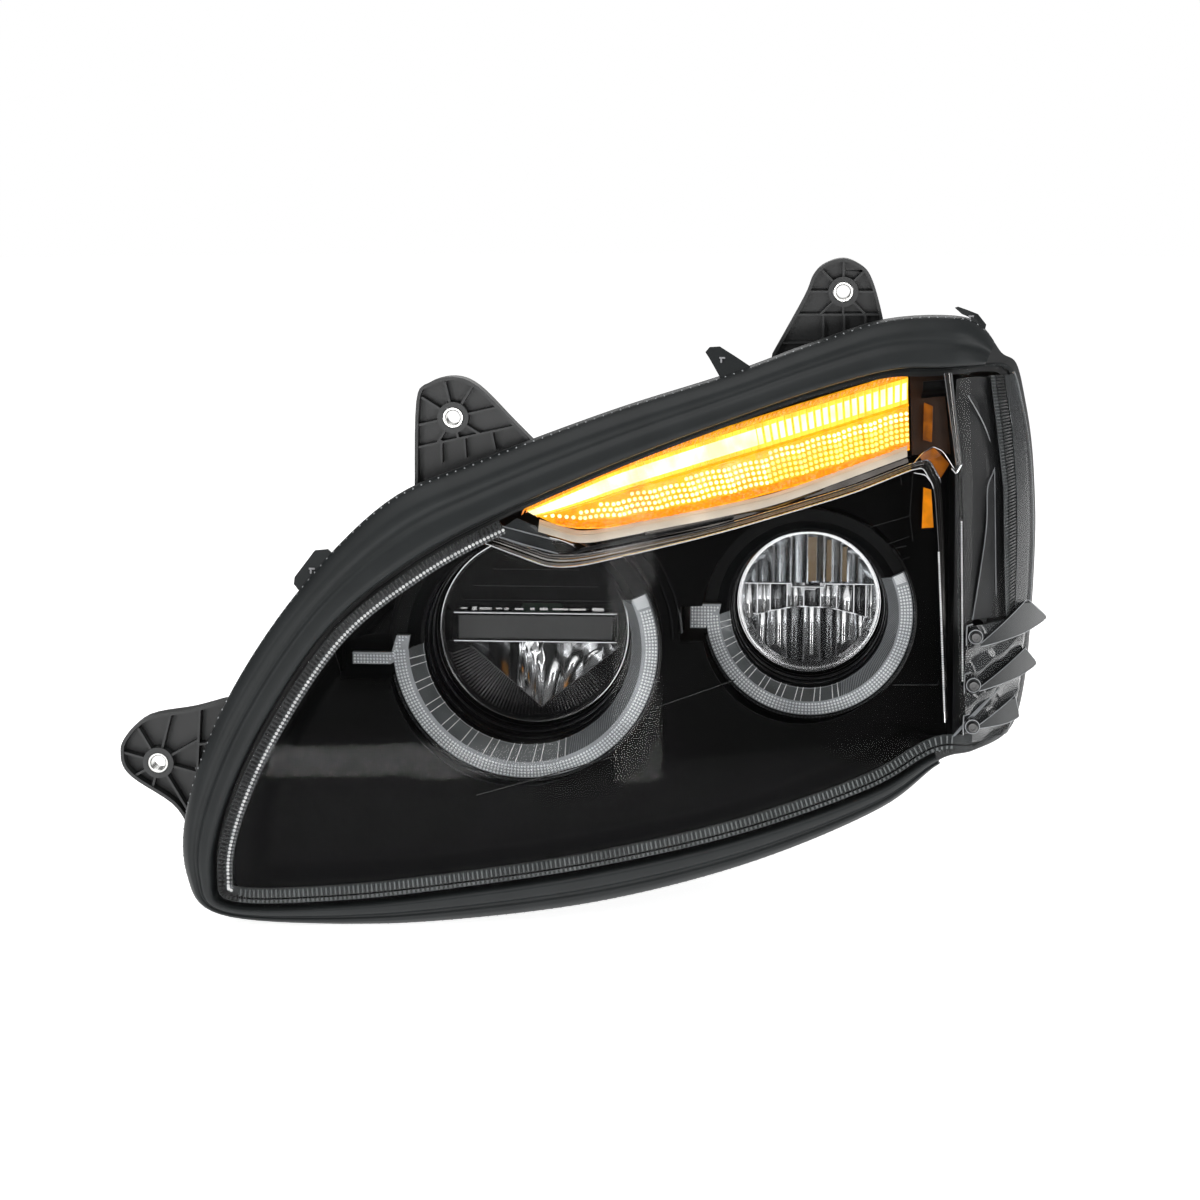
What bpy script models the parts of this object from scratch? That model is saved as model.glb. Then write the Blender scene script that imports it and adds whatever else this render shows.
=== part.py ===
"""Headlight assembly for the left-hand side of a vehicle, built piece by piece.

Axes while modelling: +X outboard, +Y rearwards into the vehicle, +Z up.
Every length in this file is in millimetres. The helpers turn it into metres with MM,
and the empty "assembly_origin" moves the whole lamp so that its box is centred on the origin.
"""
import math

import bmesh
import bpy
from mathutils import Vector

MM = 0.001
MERGE = 0.00002

# ---------------------------------------------------------------- driving dimensions
BOX_CENTRE = (-3.5, 177.3, 14.0)

# Depth of the lens face as a formula of the place across (x) and up (z) the lamp.
LENS_FRONT = 58.0
LENS_SWEEP = (0.22, 0.0004)
LENS_RAKE = (0.20, 0.0004)
WRAP_START = 262.0
WRAP_WIDTH = 71.0
WRAP_DEPTH = 60.0

# Outline stations: flange rim (x, z), then lens edge (x, z), counter-clockwise from the front.
STATIONS = [
    (334, 32, 331, 32), (333, 70, 330, 70), (330, 105, 327, 104), (324, 138, 320.5, 137),
    (316, 167, 312, 164.5), (303, 177, 297, 170), (288, 197, 276, 169.5), (266, 207, 252, 168.5),
    (212, 206, 216, 168), (156, 190, 163, 156), (94, 169, 104, 138), (9, 144, 22, 109),
    (-86, 110, -70, 71), (-153, 80, -130, 39), (-215, 17, -188, -7), (-265, -60, -236, -78),
    (-293, -135, -264, -140), (-294, -186, -272, -184), (-270, -215, -260, -206),
    (-180, -222, -182, -205), (-89, -219, -92, -196), (15, -208, 10, -183), (120, -185, 112, -164),
    (212, -152, 205, -137), (256, -122, 252, -114), (283, -118, 281, -115),
    (313, -109.5, 310, -106), (325, -80, 322, -79), (331, -25, 328, -25),
]
OUTLINE_STEPS = 2
OUTLINE_CENTRE = (20.0, -15.0)
SEAL_FIRST_STATION = 5
SEAL_LAST_STATION = 24

FLANGE_OFFSET = 20.0
FLANGE_THICK = 5.0
SHELL_THICK = 3.0
REAR_WALL_Y = 262.0
REAR_WALL_SLOPE = 0.2
TUB_ROWS = ((0.955, 0.0), (0.92, 0.35), (0.885, 0.75), (0.86, 0.94), (0.83, 1.0))
WALL_SHRINK = 0.015
MOUTH_SCALE = 0.97
TURRET_WALL = 4.0
LENS_THICK = 2.8
SKIRT_DEPTH = 11.0
GAP = 0.3

# Section of the hood seal: (share of the way from lens edge to rim, offset behind the lens).
SEAL_SECTION = [(0.06, 19.6), (0.06, 3.0), (0.14, -3.0), (0.40, -2.0), (0.55, 1.5), (0.85, 4.0),
                (1.0, 9.0), (1.0, 19.6)]
# Flaps that stand out of the seal's outer wall, where it hooks on to the vehicle's opening.
SEAL_FLAPS = {
    "upper": [(91, 163), (80.5, 181), (77.5, 185.5), (80.5, 189), (88, 189.3), (99.5, 182), (113, 173)],
    "inboard": [(-209, 15), (-216.5, 24), (-216, 29), (-202, 47.6), (-192.5, 48.5), (-184, 41)],
    "outboard": [(280, 199), (276.5, 206), (270, 208.8), (264.5, 213.6), (267, 214.4), (275, 211.4),
                 (283, 208), (289.5, 200), (288, 194)],
}
SEAL_FLAP_FRONT = 11.0
SEAL_FLAP_BACK = 14.0

# Beam modules: centre (x, z), and the depths of the pieces along the optical axis.
LOW = {
    "x": -52.0, "z": -28.0, "halo_y": 80.0, "halo_outer": 98.0, "halo_inner": 83.0,
    "throat_r": 73.5, "throat_y": 150.0, "ring_y": 156.0, "ring_inner": 71.0, "ring_outer": 77.5,
    "bowl_y": 162.0, "bowl_r": 69.5, "vertex_y": 231.0, "board_y": 232.0, "board_r": 20.0,
    "turret_r": 86.0, "turret_end": 302.0, "cap_r": 60.0, "sink": (84.0, 64.0), "sink_end": 276.0,
    "plate_hole": 39.0,
}
HIGH = {
    "x": 156.7, "z": -11.7, "halo_y": 145.0, "halo_outer": 77.7, "halo_inner": 65.0,
    "throat_r": 56.5, "throat_y": 194.0, "ring_y": 200.0, "ring_inner": 54.0, "ring_outer": 60.0,
    "bowl_y": 206.0, "bowl_r": 52.2, "vertex_y": 262.0, "board_y": 262.6, "board_r": 18.0,
    "turret_r": 76.0, "turret_end": 340.0, "cap_r": 52.0, "sink": (70.0, 54.0), "sink_end": 306.0,
    "plate_hole": 53.0,
}
SHELF_LEVELS = (11.8, 14.2)
FLUTE_LEVELS = (15.2, 34.0)
HALO_START = 180.0
HALO_END = 385.0
HALO_THICK = 6.0
# The stepped arm that brings light to each halo ring, as (x, z) from the ring outwards and back.
LOW_ARM = [(-137, -19.5), (-147, -19.5), (-151, -32.5), (-180, -32.5), (-180, -41.5), (-152, -41.5)]
HIGH_ARM = [(90.5, -5), (67, -5), (67, -23.5), (79, -23.5)]

# Aiming gear
PIVOT_Y = 215.0
PIVOT_Z = -17.0
PIVOTS = {"pivot_stud_inboard": (-140.0, 226.0, 6.0), "pivot_stud_outboard": (248.0, 240.0, 8.0)}
PLATE_THICK = 4.0
BALL_R = 5.0
ADJUSTER_X = 50.0
ADJUSTER_Z = -120.0
SCREW_R = 3.0
ADJUSTER_BOSS_END = 284.0

# Pieces on the slanted rear wall: place (x, z), then width and height of the boxes.
WALL_TURN = math.atan(REAR_WALL_SLOPE)
SOCKET = (46.0, 78.0, 46.0, 26.0)
SOCKET_WALL = 3.0
TERMINAL_COUNT = 4
TERMINAL_PITCH = 7.0
DRIVER = (-178.0, -92.0, 84.0, 66.0)
VENT = (-182.0, -22.0)

# Fixing tabs: hole (x, z), depth of the rear face, turn of the spokes in degrees, and outline.
TAB_SPOKES = 8
TAB_DEPTH = 14.0
TAB_FLOOR = 3.0
TAB_WALL = 2.6
TAB_BOSS_R = 11.5
LIMITER_OUTER = 7.6
LIMITER_INNER = 5.25
TABS = {
    "upper_outboard": {
        "hole": (180, 224.5), "rear_y": 243.0, "tilt": 0.0,
        "outline": [(122, 150), (126, 176), (150, 220), (157, 237), (166, 246), (180, 250),
                    (193, 245), (201, 236), (208, 215), (216, 180), (218, 150)],
    },
    "upper_inboard": {
        "hole": (-107, 139), "rear_y": 121.0, "tilt": 13.0,
        "outline": [(-136, 62), (-136, 85), (-134, 151), (-125, 164), (-106, 169), (-88, 162),
                    (-62, 136), (-44, 118), (-44, 70)],
    },
    "lower_inboard": {
        "hole": (-322, -113), "rear_y": 69.0, "tilt": -15.0,
        "outline": [(-248, -60), (-275, -66), (-296, -72), (-330, -79), (-347, -95), (-350, -110),
                    (-342, -124), (-312, -144), (-300, -162), (-262, -166)],
    },
}

# Turn signal strip and trims, as paths (x, z) from inboard to outboard.
SIGNAL_BOTTOM = [(-30, 61.5), (-8, 58.2), (34, 61.8), (130, 81), (231, 108)]
SIGNAL_TOP = [(-54, 73.5), (-19, 90), (18, 105.5), (104, 132.5), (187, 155.5), (229, 166.5)]
SIGNAL_OPENING = [(-110, 62), (-66, 50), (-36, 55), (-8, 52), (34, 56), (130, 75), (238, 104),
                  (244, 240), (-20, 240)]
TRIM_FRONT = [(-84, 54), (-26, 31.5), (84, 54), (187, 80.2), (232, 96), (241, 97), (249.5, 82),
              (253.5, 34), (259.5, -92)]
TRIM_BACK = [(-74, 57.5), (-26, 40), (84, 58.5), (187, 85), (233, 100.5), (246, 103), (256, 86),
             (258.5, 34), (262.5, -90)]
BROW_FRONT = [(-20, 42), (56, 56), (100, 65)]
BROW_BACK = [(-10, 46.5), (56, 58.4), (100, 66.6)]
LEDGE_PATH = [(-42, 58.5), (-10, 48.5), (56, 59.8), (130, 72.5), (229, 104.5)]
LEDGE_HEIGHT = 5.0
SIDE_TRIM_FRONT = [(256, 153), (265.5, 98), (268.5, 54), (270, -20), (270, -62)]
SIDE_TRIM_BACK = [(261, 153), (269.5, 98), (271.5, 54), (272.7, -20), (272.7, -62)]
MARKER_UPPER = [(238, 104), (250, 110)]
MARKER_LOWER = [(248, 84), (262, 97)]
PIPE_UPPER = [(242, 80), (248, 78)]
PIPE_LOWER = [(241, 50), (250, 50)]

# Lower outboard corner of the lens: screw bosses (x, z) and the outlines of the clear fins.
BOSS_POINTS = [(281.6, -27.6), (280.3, -63.2), (279.9, -94.1)]
BOSS_RADIUS = 5.5
BOSS_PROUD = 5.0
SCREW_HOLE_R = 2.6
# Each fin is a lower and an upper edge (x, z), from its root by the boss to its tip.
FINS = [
    ([(286, -36), (324, -35), (343, -31.8)], [(286, -33.5), (325, -10), (343, -30)]),
    ([(285, -69), (320, -66.5), (334, -63.5)], [(285, -66.5), (323.5, -47), (334, -61.7)]),
    ([(285, -97), (309, -99), (319, -98)], [(285, -94.5), (315, -80), (319, -96.5)]),
]
FIN_RINGS = 8
FIN_FRONT = -1.5
FIN_BACK = 8.0
BEZEL_SPLIT = 264.0


# ---------------------------------------------------------------- formulas
def lens_depth(x, z):
    """Depth of the outer face of the lens at x, z."""
    depth = LENS_FRONT + LENS_SWEEP[0] * x + LENS_SWEEP[1] * x * x
    depth += LENS_RAKE[0] * z + LENS_RAKE[1] * z * z
    if x > WRAP_START:
        depth += WRAP_DEPTH * ((x - WRAP_START) / WRAP_WIDTH) ** 2
    return depth


def rear_wall(x):
    """Depth of the outer face of the housing's slanted rear wall."""
    return REAR_WALL_Y + REAR_WALL_SLOPE * x


def spline(points, steps, closed=False):
    """Points along a smooth curve through the given points of any dimension."""
    count = len(points)
    spans = count if closed else count - 1
    result = []
    for span in range(spans):
        if closed:
            four = [points[(span + shift) % count] for shift in (-1, 0, 1, 2)]
        else:
            four = [points[min(max(span + shift, 0), count - 1)] for shift in (-1, 0, 1, 2)]
        for step in range(steps):
            t = step / steps
            weights = (
                (-t + 2 * t * t - t ** 3) / 2,
                (2 - 5 * t * t + 3 * t ** 3) / 2,
                (t + 4 * t * t - 3 * t ** 3) / 2,
                (t ** 3 - t * t) / 2,
            )
            result.append(tuple(
                sum(weight * point[axis] for weight, point in zip(weights, four))
                for axis in range(len(points[0]))
            ))
    if not closed:
        result.append(tuple(points[-1]))
    return result


def resample(path, count):
    """The same path with evenly spaced points, counted with both ends."""
    lengths = [0.0]
    for first, second in zip(path, path[1:]):
        lengths.append(lengths[-1] + math.dist(first, second))
    result = []
    for index in range(count):
        wanted = lengths[-1] * index / (count - 1)
        span = max(i for i in range(len(path) - 1) if lengths[i] <= wanted + 1e-9)
        share = (wanted - lengths[span]) / (lengths[span + 1] - lengths[span])
        result.append(tuple(a + (b - a) * share for a, b in zip(path[span], path[span + 1])))
    return result


STATION_LOOP = spline(STATIONS, OUTLINE_STEPS, closed=True)
RIM = [(s[0], s[1]) for s in STATION_LOOP]
EDGE = [(s[2], s[3]) for s in STATION_LOOP]


def scaled(outline, scale):
    """The outline drawn in towards the outline centre."""
    cx, cz = OUTLINE_CENTRE
    return [(cx + (x - cx) * scale, cz + (z - cz) * scale) for x, z in outline]


def on_lens(outline, offset):
    """An x, z outline laid at a distance behind the lens face."""
    return [(x, lens_depth(x, z) + offset, z) for x, z in outline]


# ---------------------------------------------------------------- Blender helpers
def start_empty_scene():
    for old in list(bpy.data.objects):
        bpy.data.objects.remove(old, do_unlink=True)
    for name in ("headlight_assembly", "cutters"):
        collection = bpy.data.collections.new(name)
        bpy.context.scene.collection.children.link(collection)
    origin = bpy.data.objects.new("assembly_origin", None)
    bpy.data.collections["headlight_assembly"].objects.link(origin)
    origin.location = Vector(BOX_CENTRE) * -MM
    return origin


def material(name, colour, roughness, metallic=0.0, alpha=1.0):
    made = bpy.data.materials.new(name)
    made.use_nodes = True
    shader = made.node_tree.nodes["Principled BSDF"]
    shader.inputs["Base Color"].default_value = (*colour, 1.0)
    shader.inputs["Roughness"].default_value = roughness
    shader.inputs["Metallic"].default_value = metallic
    shader.inputs["Alpha"].default_value = alpha
    return made


def add_object(name, mesh, finish=None, smooth=True, helper=False):
    """Put a mesh in the scene as one piece, or as a helper for a Boolean."""
    piece = bpy.data.objects.new(name, mesh)
    bpy.data.collections["cutters" if helper else "headlight_assembly"].objects.link(piece)
    piece.parent = bpy.data.objects["assembly_origin"]
    if finish:
        mesh.materials.append(finish)
    if smooth:
        mesh.shade_smooth()
        mesh.set_sharp_from_angle(angle=math.radians(35))
    if helper:
        piece.hide_render = True
        piece.display_type = "WIRE"
    return piece


def mesh_from(name, points, faces):
    """A mesh from points in millimetres, with its normals facing out where it is closed."""
    mesh = bpy.data.meshes.new(name)
    mesh.from_pydata([Vector(point) * MM for point in points], [], faces)
    work = bmesh.new()
    work.from_mesh(mesh)
    bmesh.ops.remove_doubles(work, verts=work.verts, dist=MERGE)
    bmesh.ops.recalc_face_normals(work, faces=work.faces)
    work.to_mesh(mesh)
    work.free()
    return mesh


def loft(name, rings, finish=None, closed=True, **options):
    """A solid through rings of equal length, with a cap on the first and the last."""
    count = len(rings[0])
    points = [point for ring in rings for point in ring]
    faces = []
    for row in range(len(rings) - 1):
        for column in range(count):
            after = (column + 1) % count
            low, high = row * count, (row + 1) * count
            faces.append((low + column, low + after, high + after, high + column))
    if closed:
        faces.append(tuple(range(count)))
        faces.append(tuple(range(len(points) - count, len(points))))
    return add_object(name, mesh_from(name, points, faces), finish, **options)


def facing_front(mesh):
    """Turn a sheet so that its faces look forward, which is towards -Y."""
    if sum(face.normal.y * face.area for face in mesh.polygons) > 0:
        mesh.flip_normals()


def thicken(piece, thickness):
    """Give a sheet its thickness on the side away from its normals."""
    solidify = piece.modifiers.new("thickness", "SOLIDIFY")
    solidify.thickness = thickness * MM
    solidify.offset = -1.0
    solidify.use_even_offset = True


def dished_sheet(name, outline, rows, thickness, finish):
    """A shell over an outline, from (scale, offset behind the lens) rows to its centre."""
    rings = [on_lens(scaled(outline, scale), offset) for scale, offset in rows]
    count = len(outline)
    points = [point for ring in rings for point in ring]
    faces = []
    for row in range(len(rings) - 1):
        for column in range(count):
            after = (column + 1) % count
            low, high = row * count, (row + 1) * count
            faces.append((low + column, low + after, high + after, high + column))
    last = (len(rings) - 1) * count
    cx, cz = OUTLINE_CENTRE
    points.append((cx, lens_depth(cx, cz) + rows[-1][1], cz))
    for column in range(count):
        faces.append((last + column, last + (column + 1) % count, len(points) - 1))
    mesh = mesh_from(name, points, faces)
    facing_front(mesh)
    piece = add_object(name, mesh, finish)
    thicken(piece, thickness)
    return piece


def ribbon(name, first, second, thickness, finish):
    """A strip between two paths of equal length."""
    count = len(first)
    faces = [(i, i + 1, count + i + 1, count + i) for i in range(count - 1)]
    mesh = mesh_from(name, list(first) + list(second), faces)
    facing_front(mesh)
    piece = add_object(name, mesh, finish)
    thicken(piece, thickness)
    return piece


def turned(name, profile, x, z, steps, finish=None, **options):
    """A solid turned about a line along Y, from a closed (radius, depth) profile."""
    area = sum(
        a[0] * b[1] - b[0] * a[1] for a, b in zip(profile, profile[1:] + profile[:1])
    )
    ordered = profile[::-1] if area > 0 else profile
    mesh = bpy.data.meshes.new(name)
    edges = [(i, (i + 1) % len(ordered)) for i in range(len(ordered))]
    mesh.from_pydata([(radius * MM, 0, depth * MM) for radius, depth in ordered], edges, [])
    piece = add_object(name, mesh, finish, smooth=False, **options)
    piece.location = Vector((x, 0, z)) * MM
    piece.rotation_euler = (-math.pi / 2, 0, 0)
    screw = piece.modifiers.new("turn", "SCREW")
    screw.steps = steps
    screw.render_steps = steps
    screw.use_merge_vertices = True
    screw.merge_threshold = MERGE
    screw.use_smooth_shade = True
    return piece


def turned_disc(name, profile, x, z, steps, finish=None, **options):
    """A turned solid whose open profile starts and ends on the axis."""
    piece = turned(name, profile, x, z, steps, finish, **options)
    mesh = piece.data
    on_axis = [v.index for v in mesh.vertices if abs(v.co.x) < MERGE]
    work = bmesh.new()
    work.from_mesh(mesh)
    work.edges.ensure_lookup_table()
    inner = [e for e in work.edges if all(v.index in on_axis for v in e.verts)]
    bmesh.ops.delete(work, geom=inner, context="EDGES_FACES")
    work.to_mesh(mesh)
    work.free()
    return piece


def drum(name, radius, start, end, x, z, steps=32, finish=None, **options):
    """A plain cylinder along Y."""
    profile = [(0, start), (radius, start), (radius, end), (0, end)]
    return turned_disc(name, profile, x, z, steps, finish, **options)


def flat_shape(name, outlines, start, end, finish=None, **options):
    """A flat plate: closed x, z outlines, the later ones holes, between two depths."""
    curve = bpy.data.curves.new(name, "CURVE")
    curve.dimensions = "2D"
    curve.fill_mode = "BOTH"
    curve.extrude = (end - start) / 2 * MM
    for outline in outlines:
        line = curve.splines.new("POLY")
        line.points.add(len(outline) - 1)
        for point, (x, z) in zip(line.points, outline):
            point.co = (x * MM, z * MM, 0, 1)
        line.use_cyclic_u = True
    drawn = bpy.data.objects.new(name + "_outline", curve)
    bpy.context.scene.collection.objects.link(drawn)
    drawn.rotation_euler = (math.pi / 2, 0, 0)
    drawn.location = (0, (start + end) / 2 * MM, 0)
    bpy.context.view_layer.update()
    seen = drawn.evaluated_get(bpy.context.evaluated_depsgraph_get())
    mesh = bpy.data.meshes.new_from_object(seen)
    mesh.transform(drawn.matrix_world)
    bpy.data.objects.remove(drawn, do_unlink=True)
    work = bmesh.new()
    work.from_mesh(mesh)
    bmesh.ops.remove_doubles(work, verts=work.verts, dist=MERGE)
    bmesh.ops.recalc_face_normals(work, faces=work.faces)
    work.to_mesh(mesh)
    work.free()
    mesh.materials.clear()
    return add_object(name, mesh, finish, smooth=False, **options)


def block(name, centre, size, finish=None, bevel=0.0, turn=0.0, **options):
    """A box, turned about the upright through its centre."""
    mesh = bpy.data.meshes.new(name)
    work = bmesh.new()
    bmesh.ops.create_cube(work, size=1.0)
    bmesh.ops.scale(work, verts=work.verts, vec=Vector(size) * MM)
    work.to_mesh(mesh)
    work.free()
    piece = add_object(name, mesh, finish, smooth=False, **options)
    piece.location = Vector(centre) * MM
    piece.rotation_euler = (0, 0, turn)
    if bevel:
        rounding = piece.modifiers.new("rounding", "BEVEL")
        rounding.width = bevel * MM
        rounding.segments = 2
        rounding.limit_method = "ANGLE"
    return piece


def combine(piece, other, operation):
    change = piece.modifiers.new(other.name, "BOOLEAN")
    change.operation = operation
    change.object = other
    change.solver = "EXACT"


def cut(piece, *cutters):
    for cutter in cutters:
        combine(piece, cutter, "DIFFERENCE")


def join(piece, *additions):
    for addition in additions:
        combine(piece, addition, "UNION")


def arc(x, z, radius, first, last, steps):
    """Points of an arc in degrees, counted from +X towards +Z."""
    angles = [math.radians(first + (last - first) * i / steps) for i in range(steps + 1)]
    return [(x + radius * math.cos(a), z + radius * math.sin(a)) for a in angles]


# ---------------------------------------------------------------- finishes
def make_finishes():
    return {
        "housing_plastic": material("housing_plastic", (0.018, 0.018, 0.019), 0.5),
        "bezel_plastic": material("bezel_plastic", (0.006, 0.006, 0.006), 0.3),
        "seal_rubber": material("seal_rubber", (0.03, 0.032, 0.034), 0.6),
        "clear_lens": material("clear_lens", (0.9, 0.92, 0.93), 0.03, alpha=0.3),
        "inner_glass": material("inner_glass", (0.9, 0.92, 0.93), 0.03, alpha=0.3),
        "light_guide": material("light_guide", (0.7, 0.72, 0.74), 0.25),
        "chrome": material("chrome", (0.75, 0.76, 0.78), 0.08, metallic=1.0),
        "amber": material("amber", (1.0, 0.42, 0.02), 0.2),
        "circuit_board": material("circuit_board", (0.02, 0.12, 0.05), 0.5),
        "aluminium": material("aluminium", (0.6, 0.61, 0.62), 0.35, metallic=1.0),
        "steel": material("steel", (0.62, 0.62, 0.6), 0.3, metallic=1.0),
        "nylon": material("nylon", (0.65, 0.64, 0.58), 0.45),
    }


# ---------------------------------------------------------------- housing
def tub_rings(inward, forward):
    """Rings of the tub wall from behind the flange to the rear wall."""
    rings = []
    for scale, share in TUB_ROWS:
        ring = []
        for (rim_x, rim_z), (x, z) in zip(RIM, scaled(RIM, scale - inward)):
            front = lens_depth(rim_x, rim_z) + FLANGE_OFFSET + FLANGE_THICK + 1.0
            ring.append((x, front + (rear_wall(x) - forward - front) * share, z))
        rings.append(ring)
    return rings


def tab_pockets(label, tab):
    """Wedge cutters that leave spokes, an outer wall and a boss on a fixing tab."""
    cx, cz = tab["hole"]
    outline = tab["outline"]
    front = tab["rear_y"] - TAB_DEPTH - 1.0
    back = tab["rear_y"] - TAB_FLOOR

    def reach(angle):
        best = 400.0
        dx, dz = math.cos(angle), math.sin(angle)
        for (ax, az), (bx, bz) in zip(outline, outline[1:] + outline[:1]):
            ex, ez = bx - ax, bz - az
            cross = dx * ez - dz * ex
            if abs(cross) < 1e-9:
                continue
            along = ((ax - cx) * ez - (az - cz) * ex) / cross
            share = ((ax - cx) * dz - (az - cz) * dx) / cross
            if along > 0 and -1e-9 <= share <= 1 + 1e-9:
                best = min(best, along)
        return best - TAB_WALL

    cutters = []
    turn = math.radians(tab["tilt"])
    for index in range(TAB_SPOKES):
        first = 2 * math.pi * index / TAB_SPOKES + turn
        last = 2 * math.pi * (index + 1) / TAB_SPOKES + turn
        steps = 3
        inner, outer = [], []
        for step in range(steps + 1):
            angle = first + (last - first) * step / steps
            far = reach(angle)
            near = TAB_BOSS_R
            trim_near, trim_far = TAB_WALL / 2 / near, TAB_WALL / 2 / far
            low = angle + (trim_near if step == 0 else -trim_near if step == steps else 0)
            high = angle + (trim_far if step == 0 else -trim_far if step == steps else 0)
            inner.append((cx + near * math.cos(low), cz + near * math.sin(low)))
            far = reach(high)
            outer.append((cx + far * math.cos(high), cz + far * math.sin(high)))
        if min(math.dist(a, b) for a, b in zip(inner, outer)) > 3.0:
            cutters.append(flat_shape(
                f"{label}_pocket_{index}", [inner + outer[::-1]], front, back, helper=True))
    return cutters


def make_tab(label, tab, trimmer):
    """A spoked plate that stops inside the thickness of the tub wall."""
    plate = flat_shape(
        f"{label}_tab", [tab["outline"]], tab["rear_y"] - TAB_DEPTH, tab["rear_y"], helper=True)
    cut(plate, *tab_pockets(label, tab), trimmer)
    return plate


def make_turret(label, beam):
    """The round extension of the rear wall that leads to a service hole."""
    outer, inner, end = beam["turret_r"], beam["turret_r"] - TURRET_WALL, beam["turret_end"]
    start = rear_wall(beam["x"] - outer) - 1.5
    profile = [(inner, start), (outer, start), (outer, end), (beam["cap_r"], end),
               (beam["cap_r"], end - TURRET_WALL), (inner, end - TURRET_WALL)]
    return turned(f"{label}_turret", profile, beam["x"], beam["z"], 32, helper=True)


def make_housing(finish):
    """The tub with its flange, rear wall, two turrets, tabs and inner bosses."""
    mouth = scaled(EDGE, MOUTH_SCALE)
    back = FLANGE_OFFSET + FLANGE_THICK
    rings = tub_rings(0.0, 0.0)[::-1]
    rings += [on_lens(RIM, back)]
    rings += [on_lens(ring, FLANGE_OFFSET) for ring in (RIM, EDGE, scaled(EDGE, 0.98), mouth)]
    rings += [on_lens(mouth, back)] + tub_rings(WALL_SHRINK, SHELL_THICK)
    housing = loft("housing", rings, finish)
    trim_rings = tub_rings(WALL_SHRINK / 2, SHELL_THICK / 2)
    trim_front = [(x, LENS_FRONT - 100, z) for x, _, z in trim_rings[0]]
    trimmer = loft("tub_trimmer", [trim_front] + trim_rings, helper=True)
    for label, tab in TABS.items():
        join(housing, make_tab(label, tab, trimmer))
    for label, beam in (("low", LOW), ("high", HIGH)):
        cut(housing, drum(f"{label}_wall_hole", beam["turret_r"] - TURRET_WALL / 2,
                          rear_wall(beam["x"]) - 35, rear_wall(beam["x"]) + 35,
                          beam["x"], beam["z"], 32, helper=True))
        join(housing, make_turret(label, beam))
    join(housing, drum("adjuster_boss", 13.0, 264, ADJUSTER_BOSS_END, ADJUSTER_X, ADJUSTER_Z,
                       24, helper=True))
    for name, (x, column_front, radius) in PIVOTS.items():
        join(housing, drum(f"{name}_column", radius, column_front, rear_wall(x) - 1.5, x, PIVOT_Z,
                           16, helper=True))
    cut(housing, drum("adjuster_hole", 7.0, 250, 300, ADJUSTER_X, ADJUSTER_Z, 24, helper=True))
    for label, tab in TABS.items():
        x, z = tab["hole"]
        cut(housing, drum(f"{label}_hole", LIMITER_OUTER + GAP, tab["rear_y"] - 20,
                          tab["rear_y"] + 6, x, z, 24, helper=True))
    x, z, wide, high = SOCKET
    cut(housing, block("socket_window", (x, rear_wall(x), z), (wide - 8, 30, high - 8),
                       turn=WALL_TURN, helper=True))


def behind_wall(x, z, distance):
    """A point at a distance behind the slanted rear wall."""
    return (x - math.sin(WALL_TURN) * distance, rear_wall(x) + math.cos(WALL_TURN) * distance, z)


def make_limiters(finish):
    for label, tab in TABS.items():
        x, z = tab["hole"]
        front = tab["rear_y"] - TAB_DEPTH
        profile = [(LIMITER_INNER, front), (LIMITER_OUTER, front),
                   (LIMITER_OUTER, tab["rear_y"]), (LIMITER_INNER, tab["rear_y"])]
        turned(f"{label}_limiter", profile, x, z, 24, finish)


# ---------------------------------------------------------------- lens and seals
def make_lens(finish):
    rows = [(1.0, SKIRT_DEPTH), (1.0, 0.0), (0.95, 0.0), (0.88, 0.0), (0.8, 0.0), (0.62, 0.0),
            (0.4, 0.0), (0.18, 0.0)]
    lens = dished_sheet("outer_lens", EDGE, rows, LENS_THICK, finish)
    for index, (x, z) in enumerate(BOSS_POINTS):
        face = lens_depth(x, z)
        join(lens, drum(f"lens_boss_{index}", BOSS_RADIUS, face - BOSS_PROUD, face + 13, x, z, 16,
                        helper=True))
    for index, (lower, upper) in enumerate(FINS):
        join(lens, fin(f"lens_fin_{index}", lower, upper))
    for index, (x, z) in enumerate(BOSS_POINTS):
        face = lens_depth(x, z)
        cut(lens, drum(f"lens_boss_hole_{index}", SCREW_HOLE_R, face - 20, face + 40, x, z, 12,
                       helper=True))


def fin(name, lower, upper):
    """A clear wedge that follows the lens face between a lower and an upper edge."""
    rings = []
    for first, second in zip(resample(lower, FIN_RINGS), resample(upper, FIN_RINGS)):
        front = on_lens([first, second], FIN_FRONT)
        back = on_lens([second, first], FIN_BACK)
        rings.append(front + back)
    return loft(name, rings, helper=True, smooth=False)


def leaf(name, outline, front, back):
    """A helper plate that follows the lens face between two offsets behind it."""
    return loft(name, [on_lens(outline, front), on_lens(outline, back)], helper=True, smooth=False)


def make_lens_seal(finish):
    """The adhesive bead between the lens skirt and the flange."""
    corners = ((1.0, 17.5), (1.0, 19.6), (0.99, 19.6), (0.99, 17.5))
    rings = [on_lens(scaled(EDGE, scale), depth) for scale, depth in corners]
    count = len(EDGE)
    points = [point for ring in rings for point in ring]
    faces = []
    for row in range(4):
        for column in range(count):
            after = (column + 1) % count
            low, high = row * count, (row + 1) % 4 * count
            faces.append((low + column, low + after, high + after, high + column))
    add_object("lens_seal", mesh_from("lens_seal", points, faces), finish)


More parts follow.
